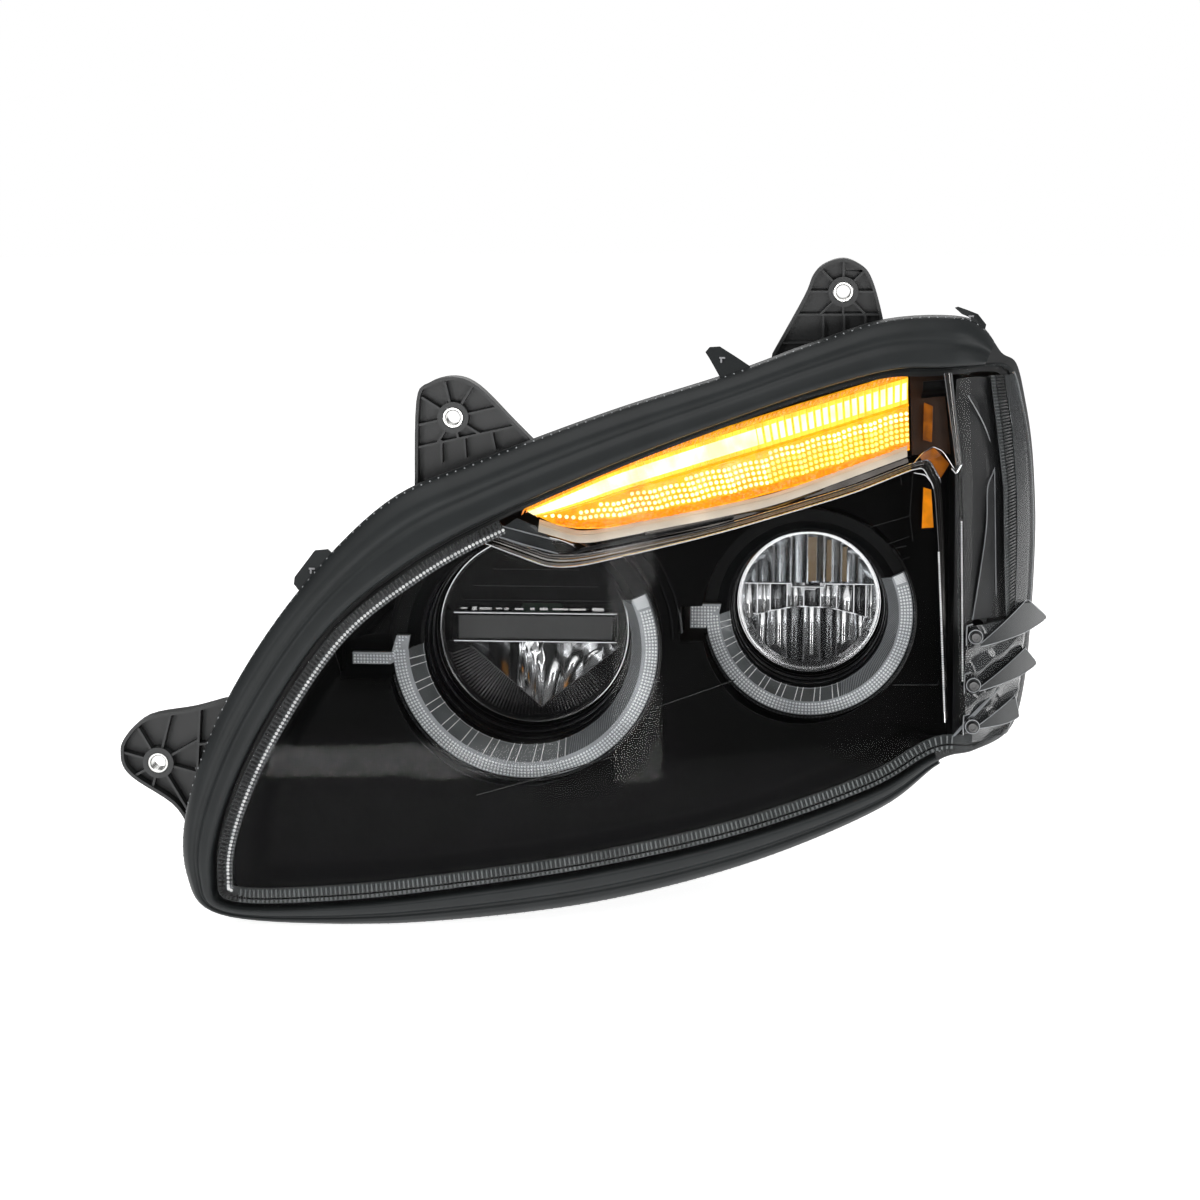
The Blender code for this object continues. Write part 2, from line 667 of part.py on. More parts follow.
def make_hood_seal(finish):
    """The wide soft band between the lens edge and the flange rim, open outboard."""
    first = SEAL_FIRST_STATION * OUTLINE_STEPS
    last = SEAL_LAST_STATION * OUTLINE_STEPS
    sections = []
    for index in range(first, last + 1):
        rim, edge = RIM[index], EDGE[index]
        section = []
        for share, offset in SEAL_SECTION:
            x = edge[0] + (rim[0] - edge[0]) * share
            z = edge[1] + (rim[1] - edge[1]) * share
            section.append((x, lens_depth(x, z) + offset, z))
        sections.append(section)
    seal = loft("hood_seal", sections, finish)
    for label, outline in SEAL_FLAPS.items():
        join(seal, leaf(f"{label}_flap", outline, SEAL_FLAP_FRONT, SEAL_FLAP_BACK))


def make_lens_screws(finish):
    for index, (x, z) in enumerate(BOSS_POINTS):
        face = lens_depth(x, z) - BOSS_PROUD
        profile = [(0, face - 3.3), (4.0, face - 3.3), (4.0, face - GAP), (2.2, face - GAP),
                   (2.2, face + 21), (0, face + 21)]
        turned_disc(f"lens_screw_{index + 1}", profile, x, z, 16, finish)


# ---------------------------------------------------------------- inner trims
def make_bezel(finish):
    rows = [(0.955, 10.0), (0.91, 14.0), (0.88, 30.0), (0.84, 37.0), (0.75, 38.0), (0.6, 38.0),
            (0.4, 38.0), (0.18, 38.0)]
    bezel = dished_sheet("bezel", EDGE, rows, 2.5, finish)
    for label, beam in (("low", LOW), ("high", HIGH)):
        cut(bezel, drum(f"{label}_bowl_hole", beam["halo_outer"] + 2.5, beam["halo_y"] - 60,
                        beam["halo_y"] + 60, beam["x"], beam["z"], 32, helper=True))
    cut(bezel, flat_shape("signal_opening", [SIGNAL_OPENING], 20, 300, helper=True))
    cut(bezel, block("low_arm_slot", (-168, 70, -33), (36, 90, 32), helper=True))
    cut(bezel, block("high_arm_slot", (74, 130, -14), (26, 90, 26), helper=True))
    cut(bezel, block("lower_corner", (276, 150, -134), (84, 300, 60), helper=True))
    cut(bezel, block("outboard_end", (BEZEL_SPLIT + 98, 200, 0), (200, 500, 700), helper=True))


def make_side_bezel(finish):
    rows = [(0.955, 10.0), (0.91, 14.0), (0.88, 21.0), (0.80, 24.0), (0.7, 24.0)]
    panel = dished_sheet("side_bezel", EDGE, rows, 2.5, finish)
    cut(panel, block("inboard_end", (BEZEL_SPLIT - 298, 200, 0), (600, 500, 700), helper=True))
    cut(panel, block("lower_end", (290, 200, -148), (90, 300, 80), helper=True))
    cut(panel, block("fin_notch", (322, 200, -70), (60, 300, 100), helper=True))
    for index, (x, z) in enumerate(BOSS_POINTS):
        cut(panel, drum(f"side_clearance_{index}", 9.0, 60, 300, x, z, 16, helper=True))


def make_trims(finish):
    front = on_lens(TRIM_FRONT, 12.0)
    back = on_lens(TRIM_BACK, 18.0)
    ribbon("trim_strip", front, back, 1.6, finish["chrome"])
    upright_front = on_lens(resample(SIDE_TRIM_FRONT, 7), 9.0)
    upright_back = on_lens(resample(SIDE_TRIM_BACK, 7), 9.5)
    ribbon("side_trim", upright_front, upright_back, 1.6, finish["chrome"])
    ribbon("brow_panel", on_lens(BROW_FRONT, 18.0), on_lens(BROW_BACK, 18.5), 1.6,
           finish["bezel_plastic"])


def signal_strip(columns, bottom_shift=0.0, top_shift=0.0):
    bottom = resample(spline(SIGNAL_BOTTOM, 6), columns)
    top = resample(spline(SIGNAL_TOP, 6), columns)
    return ([(x, z + bottom_shift) for x, z in bottom], [(x, z - top_shift) for x, z in top])


def make_signal(finish):
    """Turn signal: lens strip, reflector tray, circuit board and bright ledge."""
    bottom, top = signal_strip(12)
    ribbon("signal_lens", on_lens(bottom, 30), on_lens(top, 30), 2.4, finish["amber"])
    count = 9
    bottom, top = signal_strip(12, 3.0, 3.0)
    inner_bottom, inner_top = signal_strip(12, 10.0, 12.0)
    outer_loop = bottom[3:] + top[:2:-1]
    inner_loop = inner_bottom[3:] + inner_top[:2:-1]
    points = on_lens(outer_loop, 36) + on_lens(inner_loop, 58)
    total = 2 * count
    faces = [(i, (i + 1) % total, total + (i + 1) % total, total + i) for i in range(total)]
    for i in range(count - 1):
        faces.append((total + i, total + i + 1, 2 * total - 2 - i, 2 * total - 1 - i))
    mesh = mesh_from("signal_reflector", points, faces)
    facing_front(mesh)
    thicken(add_object("signal_reflector", mesh, finish["chrome"]), 2.0)
    ribbon("signal_board", on_lens(inner_bottom[3:], 61.5), on_lens(inner_top[3:], 61.5), 1.6,
           finish["circuit_board"])
    ledge_top = [(x, z + LEDGE_HEIGHT) for x, z in LEDGE_PATH]
    ribbon("signal_ledge", on_lens(LEDGE_PATH, 20.5), on_lens(ledge_top, 25), 3.0,
           finish["light_guide"])


def make_marker(finish):
    """Side marker: amber facet and light pipe in front of the side bezel."""
    ribbon("marker_facet", on_lens(MARKER_UPPER, 27), on_lens(MARKER_LOWER, 27), 2.0, finish["amber"])
    ribbon("marker_light_pipe", on_lens(PIPE_UPPER, 31), on_lens(PIPE_LOWER, 31), 3.0, finish["amber"])


# ---------------------------------------------------------------- beam modules
def make_halo(label, beam, arm, finish):
    """The daytime running light guide: an open ring with an arm towards its lamp."""
    x, z = beam["x"], beam["z"]
    outer = arc(x, z, beam["halo_outer"], HALO_START + 7, HALO_END, 28)
    inner = arc(x, z, beam["halo_inner"], HALO_END, HALO_START, 26)
    front = beam["halo_y"]
    flat_shape(f"{label}_halo", [outer + inner + arm], front, front + HALO_THICK,
               finish["light_guide"])


def make_collar(label, beam, finish):
    """The deep stepped throat between the halo and the module."""
    y0 = beam["halo_y"] + HALO_THICK + 1.0
    y1 = beam["throat_y"]
    outer = beam["halo_outer"] + 1.2
    inner = beam["halo_inner"] + 1.0
    throat = beam["throat_r"]
    steps = 2
    inside = [(inner, y0)]
    for step in range(1, steps + 1):
        radius = inner + (throat - inner) * step / steps
        depth = y0 + (y1 - y0) * step / steps
        inside += [(inside[-1][0], depth - 1.2), (radius, depth - 1.2)]
    inside[-1] = (throat, y1 - 1.2)
    inside.append((throat, y1))
    outside = [(inner + 2.4, y1), (inner + 2.4, y0 + 3), (outer - 2, y0 + 3), (outer - 2, y0 + 22),
               (outer, y0 + 22), (outer, y0)]
    collar = turned(f"{label}_collar", inside + outside, beam["x"], beam["z"], 32,
                    finish["bezel_plastic"])
    return collar


def make_module(label, beam, finish):
    """Glass, retaining ring, reflector, circuit board and heat sink of one beam."""
    x, z = beam["x"], beam["z"]
    ring_y, inner, outer = beam["ring_y"], beam["ring_inner"], beam["ring_outer"]
    turned(f"{label}_glass_ring", [(inner, ring_y), (outer, ring_y), (outer, ring_y + 5.6),
                                   (inner, ring_y + 5.6)], x, z, 32, finish["chrome"])
    glass = inner - GAP
    turned_disc(f"{label}_glass", [(0, ring_y + 0.6), (glass * 0.6, ring_y + 1.1),
                                   (glass, ring_y + 2.4), (glass, ring_y + 5.2),
                                   (0, ring_y + 3.6)], x, z, 32, finish["inner_glass"])
    bowl = []
    depth_span = beam["vertex_y"] - beam["bowl_y"]
    for share in (0.0, 0.25, 0.5, 0.7, 0.85, 0.94):
        depth = beam["bowl_y"] + depth_span * share
        bowl.append((beam["bowl_r"] * math.sqrt(1 - share), depth))
    shell = bowl + [(radius + 2.4, depth) for radius, depth in reversed(bowl)]
    turned(f"{label}_reflector", shell, x, z, 28, finish["chrome"])
    board_y = beam["board_y"]
    drum(f"{label}_board", beam["board_r"], board_y, board_y + 1.6, x, z, 24,
         finish["circuit_board"])
    make_heat_sink(f"{label}_heat_sink", beam, board_y + 2.0, finish["aluminium"])


def make_heat_sink(name, beam, start, finish):
    """A base plate with upright fins, drawn as a comb seen from above."""
    wide, high = beam["sink"]
    fins, thick, base = 8, 2.4, 5.0
    pitch = (wide - thick) / (fins - 1)
    left = beam["x"] - wide / 2
    outline = [(left, start), (left + wide, start)]
    for index in reversed(range(fins)):
        edge = left + index * pitch
        outline += [(edge + thick, beam["sink_end"]), (edge, beam["sink_end"])]
        if index:
            outline += [(edge, start + base), (edge - pitch + thick, start + base)]
    rings = [[(x, y, beam["z"] + side * high / 2) for x, y in outline] for side in (-1, 1)]
    loft(name, rings, finish, smooth=False)


def make_beam_details(finish):
    """The pieces that only one of the two modules has."""
    block("low_bridge_bar", (LOW["x"], 167.5, LOW["z"]), (126, 6, 22), finish["bezel_plastic"],
          bevel=1.0)
    cx, cz = HIGH["x"], HIGH["z"]
    shelf = [(cx - 46, 209), (cx + 46, 209), (cx + 38, 224), (cx + 27, 240), (cx - 27, 240),
             (cx - 38, 224)]
    rings = [[(x, y, cz + height) for x, y in shelf] for height in SHELF_LEVELS]
    loft("high_shelf", rings, finish["chrome"], smooth=False)
    count, pitch, depth = 8, 7.5, 4.0
    left = cx - pitch * count / 2
    front = [(left + i * pitch, 209.0 + (0 if i % 2 else depth)) for i in range(count + 1)]
    back = [(x, y + 2.0) for x, y in reversed(front)]
    rings = [[(x, y, cz + height) for x, y in front + back] for height in FLUTE_LEVELS]
    loft("high_flutes", rings, finish["chrome"], smooth=False)


def make_carrier(finish):
    """The plate that holds both modules, hung on two balls and moved by the nut."""
    slot = arc(ADJUSTER_X, ADJUSTER_Z, BALL_R + 0.4, 180, 0, 8)
    outline = [
        (-149, -26), (-105, -30), (-92, -62), (-52, -80), (-12, -66), (20, -70), (38, -100),
        (38, -134), (slot[0][0], -134), *slot, (slot[-1][0], -134), (62, -134), (62, -100),
        (84, -76), (120, -76), (157, -84), (200, -70), (222, -30), (257, -26), (257, -8),
        (224, 0), (205, 45), (157, 62), (108, 46), (80, 12), (20, 10), (-20, 22), (-52, 30),
        (-88, 14), (-105, -8), (-149, -8),
    ]
    holes = [arc(b["x"], b["z"], b["plate_hole"], 0, 350, 35) for b in (LOW, HIGH)]
    for x, _, _ in PIVOTS.values():
        holes.append(arc(x, PIVOT_Z, BALL_R + 0.4, 0, 337.5, 15))
    flat_shape("carrier_frame", [outline] + holes, PIVOT_Y - PLATE_THICK / 2,
               PIVOT_Y + PLATE_THICK / 2, finish)


def make_aiming_gear(finish):
    for name, (x, column_front, _) in PIVOTS.items():
        ball = [(0, PIVOT_Y - BALL_R)]
        for degrees in (-60, -30, 0, 30, 50):
            angle = math.radians(degrees)
            ball.append((BALL_R * math.cos(angle), PIVOT_Y + BALL_R * math.sin(angle)))
        ball += [(3.0, column_front - GAP), (0, column_front - GAP)]
        turned_disc(name, ball, x, PIVOT_Z, 16, finish["nylon"])
    turned_disc("adjuster_screw", [
        (0, 196), (SCREW_R, 196), (SCREW_R, ADJUSTER_BOSS_END + 0.4),
        (9.0, ADJUSTER_BOSS_END + 0.4), (9.0, ADJUSTER_BOSS_END + 3), (6.5, ADJUSTER_BOSS_END + 3),
        (6.5, ADJUSTER_BOSS_END + 16), (0, ADJUSTER_BOSS_END + 16),
    ], ADJUSTER_X, ADJUSTER_Z, 12, finish["steel"])
    bore = SCREW_R + 0.4
    groove = PLATE_THICK / 2 + 0.6
    turned("adjuster_nut", [
        (bore, PIVOT_Y - 8), (8, PIVOT_Y - 8), (8, PIVOT_Y - groove), (BALL_R, PIVOT_Y - groove),
        (BALL_R, PIVOT_Y + groove), (8, PIVOT_Y + groove), (8, PIVOT_Y + 8), (bore, PIVOT_Y + 8),
    ], ADJUSTER_X, ADJUSTER_Z, 16, finish["nylon"])
    turned("adjuster_bush", [
        (SCREW_R + 0.3, 266), (6.7, 266), (6.7, ADJUSTER_BOSS_END), (SCREW_R + 0.3, ADJUSTER_BOSS_END),
    ], ADJUSTER_X, ADJUSTER_Z, 16, finish["nylon"])


# ---------------------------------------------------------------- rear of the lamp
def make_service_caps(finish):
    for label, beam in (("low", LOW), ("high", HIGH)):
        x, z, end, radius = beam["x"], beam["z"], beam["turret_end"], beam["cap_r"]
        turned(f"{label}_cap_seal", [(radius + 1, end + GAP), (radius + 6, end + GAP),
                                     (radius + 6, end + 2.4), (radius + 1, end + 2.4)],
               x, z, 28, finish["seal_rubber"])
        cap = turned_disc(f"{label}_cap", [
            (0, end - 2), (radius - 4, end - 2), (radius - 4, end - 12), (radius - 0.7, end - 12),
            (radius - 0.7, end + 2.7), (radius + 8, end + 2.7), (radius + 8, end + 6), (0, end + 6),
        ], x, z, 28, finish["housing_plastic"])
        join(cap, block(f"{label}_cap_grip", (x, end + 9, z), (radius * 1.3, 10, 7), helper=True))


def make_electrics(finish):
    x, z, wide, high = SOCKET
    socket = block("power_socket", behind_wall(x, z, 14.3), (wide, 28, high), finish["housing_plastic"],
                   turn=WALL_TURN)
    cut(socket, block("socket_recess", behind_wall(x, z, 20),
                      (wide - 2 * SOCKET_WALL, 32, high - 2 * SOCKET_WALL), turn=WALL_TURN, helper=True))
    cut(socket, block("socket_back", behind_wall(x, z, 2), (wide - 14, 20, high - 14),
                      turn=WALL_TURN, helper=True))
    header = block("terminal_header", behind_wall(x, z, -8), (wide - 16, 14, high - 16),
                   finish["nylon"], turn=WALL_TURN)
    for index in range(TERMINAL_COUNT):
        shift = (index - (TERMINAL_COUNT - 1) / 2) * TERMINAL_PITCH
        px, py, pz = behind_wall(x, z, 4)
        centre = (px + shift * math.cos(WALL_TURN), py + shift * math.sin(WALL_TURN), pz)
        join(header, block(f"terminal_{index}", centre, (2.4, 26, 1.2), turn=WALL_TURN, helper=True))
    x, z, wide, high = DRIVER
    block("led_driver", behind_wall(x, z, 12.4), (wide, 24, high), finish["aluminium"], bevel=2.0,
          turn=WALL_TURN)
    x, z = VENT
    vent_x, vent_y, vent_z = behind_wall(x, z, 0.3)
    vent = turned_disc("breather_vent", [(0, 0), (6, 0), (6, 4), (11, 4), (11, 10), (8, 13), (0, 13)],
                       0, 0, 20, finish["housing_plastic"])
    vent.location = Vector((vent_x, vent_y, vent_z)) * MM
    vent.rotation_euler = (-math.pi / 2, 0, WALL_TURN)


def make_halo_boards(finish):
    block("low_halo_board", (-190, 84, -33), (6, 18, 26), finish["circuit_board"])
    block("high_halo_board", (62, 149, -14), (2, 14, 20), finish["circuit_board"])


def build():
    start_empty_scene()
    finish = make_finishes()
    make_housing(finish["housing_plastic"])
    make_limiters(finish["steel"])
    make_lens(finish["clear_lens"])
    make_lens_seal(finish["seal_rubber"])
    make_hood_seal(finish["seal_rubber"])
    make_lens_screws(finish["steel"])
    make_bezel(finish["bezel_plastic"])
    make_side_bezel(finish["bezel_plastic"])
    make_trims(finish)
    make_signal(finish)
    make_marker(finish)
    make_halo("low", LOW, LOW_ARM, finish)
    make_halo("high", HIGH, HIGH_ARM, finish)
    for label, beam in (("low", LOW), ("high", HIGH)):
        collar = make_collar(label, beam, finish)
        if label == "low":
            cut(collar, block("brow_clearance", (-20, 110, 90), (260, 120, 100), helper=True))
        make_module(label, beam, finish)
    make_beam_details(finish)
    make_carrier(finish["housing_plastic"])
    make_aiming_gear(finish)
    make_service_caps(finish)
    make_electrics(finish)
    make_halo_boards(finish)


build()
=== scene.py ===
import bmesh
import bpy
import math
import random
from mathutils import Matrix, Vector


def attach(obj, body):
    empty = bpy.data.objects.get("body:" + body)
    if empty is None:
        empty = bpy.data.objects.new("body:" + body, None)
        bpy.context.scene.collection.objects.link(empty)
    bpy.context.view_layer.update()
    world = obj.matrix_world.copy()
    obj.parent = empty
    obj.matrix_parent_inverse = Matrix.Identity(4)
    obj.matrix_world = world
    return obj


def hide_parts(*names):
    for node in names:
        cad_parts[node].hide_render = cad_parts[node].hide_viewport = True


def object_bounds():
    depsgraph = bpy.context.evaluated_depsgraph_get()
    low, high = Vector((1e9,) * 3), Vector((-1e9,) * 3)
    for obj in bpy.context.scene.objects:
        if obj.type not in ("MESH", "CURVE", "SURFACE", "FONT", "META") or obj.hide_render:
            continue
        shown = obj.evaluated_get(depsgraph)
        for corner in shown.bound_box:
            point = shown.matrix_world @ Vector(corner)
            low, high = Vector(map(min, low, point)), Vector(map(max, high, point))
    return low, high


# Looks of the headlight assembly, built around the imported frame.
# Lengths are millimetres in the lamp's own axes: +X outboard, +Y rearwards, +Z up.
# place() turns them into metres in the frame, whose origin is the middle of the lamp's box.

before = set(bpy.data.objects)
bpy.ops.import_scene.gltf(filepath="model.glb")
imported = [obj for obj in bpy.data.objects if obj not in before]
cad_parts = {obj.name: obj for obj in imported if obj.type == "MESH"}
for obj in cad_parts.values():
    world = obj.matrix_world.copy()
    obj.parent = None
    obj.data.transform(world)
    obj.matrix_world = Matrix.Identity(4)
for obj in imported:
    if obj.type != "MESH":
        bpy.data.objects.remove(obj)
cad_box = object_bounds()

MM = 0.001
MERGE = 0.00001
BOX_CENTRE = (-3.5, 177.3, 14.0)
RANDOM_SEED = 7

# ---------------------------------------------------------------- driving dimensions
LENS_FRONT = 58.0
LENS_SWEEP = (0.22, 0.0004)
LENS_RAKE = (0.20, 0.0004)
WRAP_START = 262.0
WRAP_WIDTH = 71.0
WRAP_DEPTH = 60.0

# Outline stations: flange rim (x, z), then lens edge (x, z), counter-clockwise from the front.
STATIONS = [
    (334, 32, 331, 32), (333, 70, 330, 70), (330, 105, 327, 104), (324, 138, 320.5, 137),
    (316, 167, 312, 164.5), (303, 177, 297, 170), (288, 197, 276, 169.5), (266, 207, 252, 168.5),
    (212, 206, 216, 168), (156, 190, 163, 156), (94, 169, 104, 138), (9, 144, 22, 109),
    (-86, 110, -70, 71), (-153, 80, -130, 39), (-215, 17, -188, -7), (-265, -60, -236, -78),
    (-293, -135, -264, -140), (-294, -186, -272, -184), (-270, -215, -260, -206),
    (-180, -222, -182, -205), (-89, -219, -92, -196), (15, -208, 10, -183), (120, -185, 112, -164),
    (212, -152, 205, -137), (256, -122, 252, -114), (283, -118, 281, -115),
    (313, -109.5, 310, -106), (325, -80, 322, -79), (331, -25, 328, -25),
]
OUTLINE_STEPS = 8
OUTLINE_CENTRE = (20.0, -15.0)
SEAL_FIRST_STATION = 5
SEAL_LAST_STATION = 24

FLANGE_OFFSET = 20.0
FLANGE_THICK = 5.0
SHELL_THICK = 3.0
REAR_WALL_Y = 262.0
REAR_WALL_SLOPE = 0.2
WALL_TURN = math.atan(REAR_WALL_SLOPE)
TUB_ROWS = [(0.955, 0.0), (0.92, 0.35), (0.885, 0.75), (0.86, 0.94), (0.83, 1.0)]
WALL_SHRINK = 0.015
MOUTH_SCALE = 0.97
TURRET_WALL = 4.0
LENS_THICK = 2.8
SKIRT_DEPTH = 11.0

LOW = {
    "x": -52.0, "z": -28.0, "halo_y": 80.0, "halo_outer": 98.0, "bead_inner": 86.6,
    "throat_r": 73.5, "throat_y": 150.0, "ring_y": 156.0, "ring_inner": 71.0, "ring_outer": 77.5,
    "bowl_y": 162.0, "bowl_r": 69.5, "vertex_y": 231.0,
    "turret_r": 86.0, "turret_end": 302.0, "cap_r": 60.0,
}
HIGH = {
    "x": 156.7, "z": -11.7, "halo_y": 145.0, "halo_outer": 77.7, "bead_inner": 67.8,
    "throat_r": 56.5, "throat_y": 194.0, "ring_y": 200.0, "ring_inner": 54.0, "ring_outer": 60.0,
    "bowl_y": 206.0, "bowl_r": 52.2, "vertex_y": 262.0,
    "turret_r": 76.0, "turret_end": 340.0, "cap_r": 52.0,
}
HALO_THICK = 6.0
COLLAR_STEPS = 3
# Middle and size of the box that cuts away the top of the low beam's collar.
LOW_COLLAR_CUT = ((-20, 110, 90), (260, 120, 100))
HALO_START = 180.0
HALO_END = 385.0
FROST_START = 292
BEAD_RADIUS = 0.88
BEAD_HEIGHT = 1.2
BEAD_PITCH = 2.3
BEAD_STEP = 2.5
SIGNAL_CELLS = 52

ADJUSTER_X = 50.0
ADJUSTER_Z = -120.0
ADJUSTER_BOSS_END = 284.0
TURRET_RIBS = 24
CAP_KNURLS = 40
CAP_RIBS = 12
# Pivot columns inside the tub: x, depth of the front end, radius.
PIVOT_COLUMNS = [(-140.0, 226.0, 6.0), (248.0, 240.0, 8.0)]
PIVOT_Z = -17.0
SCREW_R = 3.0
SCREW_LEAD = 2.0

# Fixing tabs: bolt hole (x, z), depth of the rear face, tilt of the spokes in degrees, outline,
# and the straight ribs that cross the plate, each as two ends measured from the hole.
TAB_DEPTH = 14.0
TAB_FLOOR = 3.0
TAB_WALL = 2.4
TAB_BOSS_R = 11.5
TAB_RIB = 1.7
LIMITER_OUTER = 7.6
LIMITER_INNER = 5.25
TABS = {
    "upper_outboard": {
        "hole": (180, 224.5), "rear_y": 243.0, "tilt": 0.0,
        "outline": [(122, 150), (126, 176), (150, 220), (157, 237), (166, 246), (180, 250),
                    (193, 245), (201, 236), (208, 215), (216, 180), (218, 150)],
        "ribs": [((-60, -18), (60, -17)), ((-15, -18), (-15, -60)), ((1, -18), (1, -60)),
                 ((17, -17), (19, -60)), ((-60, -40), (60, -36))],
    },
    "upper_inboard": {
        "hole": (-107, 139), "rear_y": 121.0, "tilt": 13.0,
        "outline": [(-136, 62), (-136, 85), (-134, 151), (-125, 164), (-106, 169), (-88, 162),
                    (-62, 136), (-44, 118), (-44, 70)],
        "ribs": [((-60, -30), (70, -1)), ((-9, -17), (-9, -34)), ((8, -15), (9, -30)),
                 ((28, -10), (31, -24)), ((-60, -58), (20, -38))],
    },
    "lower_inboard": {
        "hole": (-322, -113), "rear_y": 69.0, "tilt": -15.0,
        "outline": [(-248, -60), (-275, -66), (-296, -72), (-330, -79), (-347, -95), (-350, -110),
                    (-342, -124), (-312, -144), (-300, -162), (-262, -166)],
        "ribs": [((33, 60), (25, -60)), ((29, 14), (70, 18)), ((27, -4), (70, -6))],
    },
}

# Turn signal strip and trims, as paths (x, z) from inboard to outboard.
SIGNAL_BOTTOM = [(-30, 61.5), (-8, 58.2), (34, 61.8), (130, 81), (231, 108)]
SIGNAL_TOP = [(-54, 73.5), (-19, 90), (18, 105.5), (104, 132.5), (187, 155.5), (229, 166.5)]
SIGNAL_OPENING = [(-110, 62), (-66, 50), (-36, 55), (-8, 52), (34, 56), (130, 75), (238, 104),
                  (244, 240), (-20, 240)]
TRIM_FRONT = [(-84, 54), (-26, 31.5), (84, 54), (187, 80.2), (232, 96), (241, 97), (249.5, 82),
              (253.5, 34), (259.5, -92)]
TRIM_BACK = [(-74, 57.5), (-26, 40), (84, 58.5), (187, 85), (233, 100.5), (246, 103), (256, 86),
             (258.5, 34), (262.5, -90)]
BROW_FRONT = [(-20, 42), (56, 56), (100, 65)]
BROW_BACK = [(-10, 46.5), (56, 58.4), (100, 66.6)]
LEDGE_PATH = [(-42, 58.5), (-10, 48.5), (56, 59.8), (130, 72.5), (229, 104.5)]
LEDGE_HEIGHT = 5.0
PIPE_UPPER = [(242, 80), (248, 78)]
PIPE_LOWER = [(241, 50), (250, 50)]

BOSS_POINTS = [(281.6, -27.6), (280.3, -63.2), (279.9, -94.1)]
BOSS_RADIUS = 5.5
BOSS_PROUD = 5.0
SCREW_HOLE_R = 2.6
BEZEL_SPLIT = 264.0
# Cut-outs of the bezel and of the side panel, as centre and size of boxes.
BEZEL_SLOTS = [((-168, 70, -33), (36, 90, 32)), ((74, 130, -14), (26, 90, 26)),
               ((276, 150, -134), (84, 300, 60)), ((BEZEL_SPLIT + 98, 200, 0), (200, 500, 700))]
SIDE_PANEL_SLOTS = [((BEZEL_SPLIT - 298, 200, 0), (600, 500, 700)), ((290, 200, -148), (90, 300, 80)),
                    ((322, 200, -70), (60, 300, 100))]
# Raised lines on the bezel, as paths (x, z).
BEZEL_LINES = [
    [(13, -109), (35, -111.5), (40.6, -80), (34, -66)],
    [(43.4, -74), (102, -56)],
    [(-86, -134), (13, -109)],
    [(197.5, 50.6), (207, 33), (229, 36.5)],
    [(197.5, 50.6), (232.6, 59)],
    [(208.8, 36.8), (214.9, 23.2), (232, 28.2)],
    [(208.8, 36.8), (231, 43.2)],
    [(234, 89.7), (232, 58.3), (234.5, 39.8)],
    [(224.5, 88.5), (225.4, 81.8)],
    [(220.3, -66.3), (254.8, -68.6), (255.6, -65.6)],
]
BEZEL_FACE = 38.0
COLUMN_FACE = 5.2
COLUMN_RIBS = 74

# Stations of the lens edge where its moulded border starts, changes pattern and ends.
BORDER_FIRST = 12
BORDER_TURN = 18.2
BORDER_LAST = 25

# Clear fins: each as its lower and its upper edge (x, z).
FINS = [
    ([(286, -36), (324, -35), (343, -31.8)], [(286, -33.5), (325, -10), (343, -30)]),
    ([(285, -69), (320, -66.5), (334, -63.5)], [(285, -66.5), (323.5, -47), (334, -61.7)]),
    ([(285, -97), (309, -99), (319, -98)], [(285, -94.5), (315, -80), (319, -96.5)]),
]
FIN_RINGS = 8
FIN_FRONT = -1.5
FIN_BACK = 8.0

# Flaps of the hood seal, as outlines, and the depths of their faces behind the lens face.
SEAL_FLAPS = {
    "upper": [(91, 163), (80.5, 181), (77.5, 185.5), (80.5, 189), (88, 189.3), (99.5, 182), (113, 173)],
    "inboard": [(-209, 15), (-216.5, 24), (-216, 29), (-202, 47.6), (-192.5, 48.5), (-184, 41)],
    "outboard": [(280, 199), (276.5, 206), (270, 208.8), (264.5, 213.6), (267, 214.4), (275, 211.4),
                 (283, 208), (289.5, 200), (288, 194)],
}
SEAL_FLAP_FRONT = 11.0
SEAL_FLAP_BACK = 14.0

# The rib column of the wrap: its inboard and its outboard edge (x, z), top to bottom.
COLUMN_INNER = [(292.6, 162), (297.5, 128), (304, 78), (305, 27), (307, -19)]
COLUMN_OUTER = [(304, 161), (311, 122), (315, 77), (316, 41), (315, -15)]
WRAP_CURVE = [(275.3, 148), (289.9, 121.7), (297.1, 94), (291.5, 78), (290.4, 44.8), (280.3, -19)]
SEAL_SECTION = [(0.06, 19.4), (0.06, 6.0), (0.07, 0.0), (0.16, -2.8), (0.30, -2.4), (0.42, -1.2),
                (0.50, 1.2), (0.57, 1.6), (0.64, 0.8), (0.74, 1.0), (0.84, 3.2), (0.93, 6.2),
                (0.99, 10.5), (1.0, 19.4)]
SOCKET = (46.0, 78.0, 46.0, 26.0)
DRIVER = (-178.0, -92.0, 84.0, 66.0)
VENT = (-182.0, -22.0)
# Corners of the chrome V of the low beam, measured from its axis.
V_CORNERS = [(-50.3, -14.6), (4.6, -61.8), (66.3, -13.0)]
# Upright bands of the chrome V from left to right: left end, right end and kind of facet
# (0 outer left and 1 shaded, both a darker copy of the reflector as painted shade, 2 dark gap, 3 rippled, 4
# outer right).
LOW_BANDS = [(-50, -37, 0), (-37, -21, 1), (-21, -14, 2), (-14, -9, 3), (-9, -4, 3), (-4, 1, 3), (1, 6, 3),
             (6, 21, 4), (21, 36, 4), (36, 51, 4), (51, 66, 4)]
LOW_FACE = 166.0
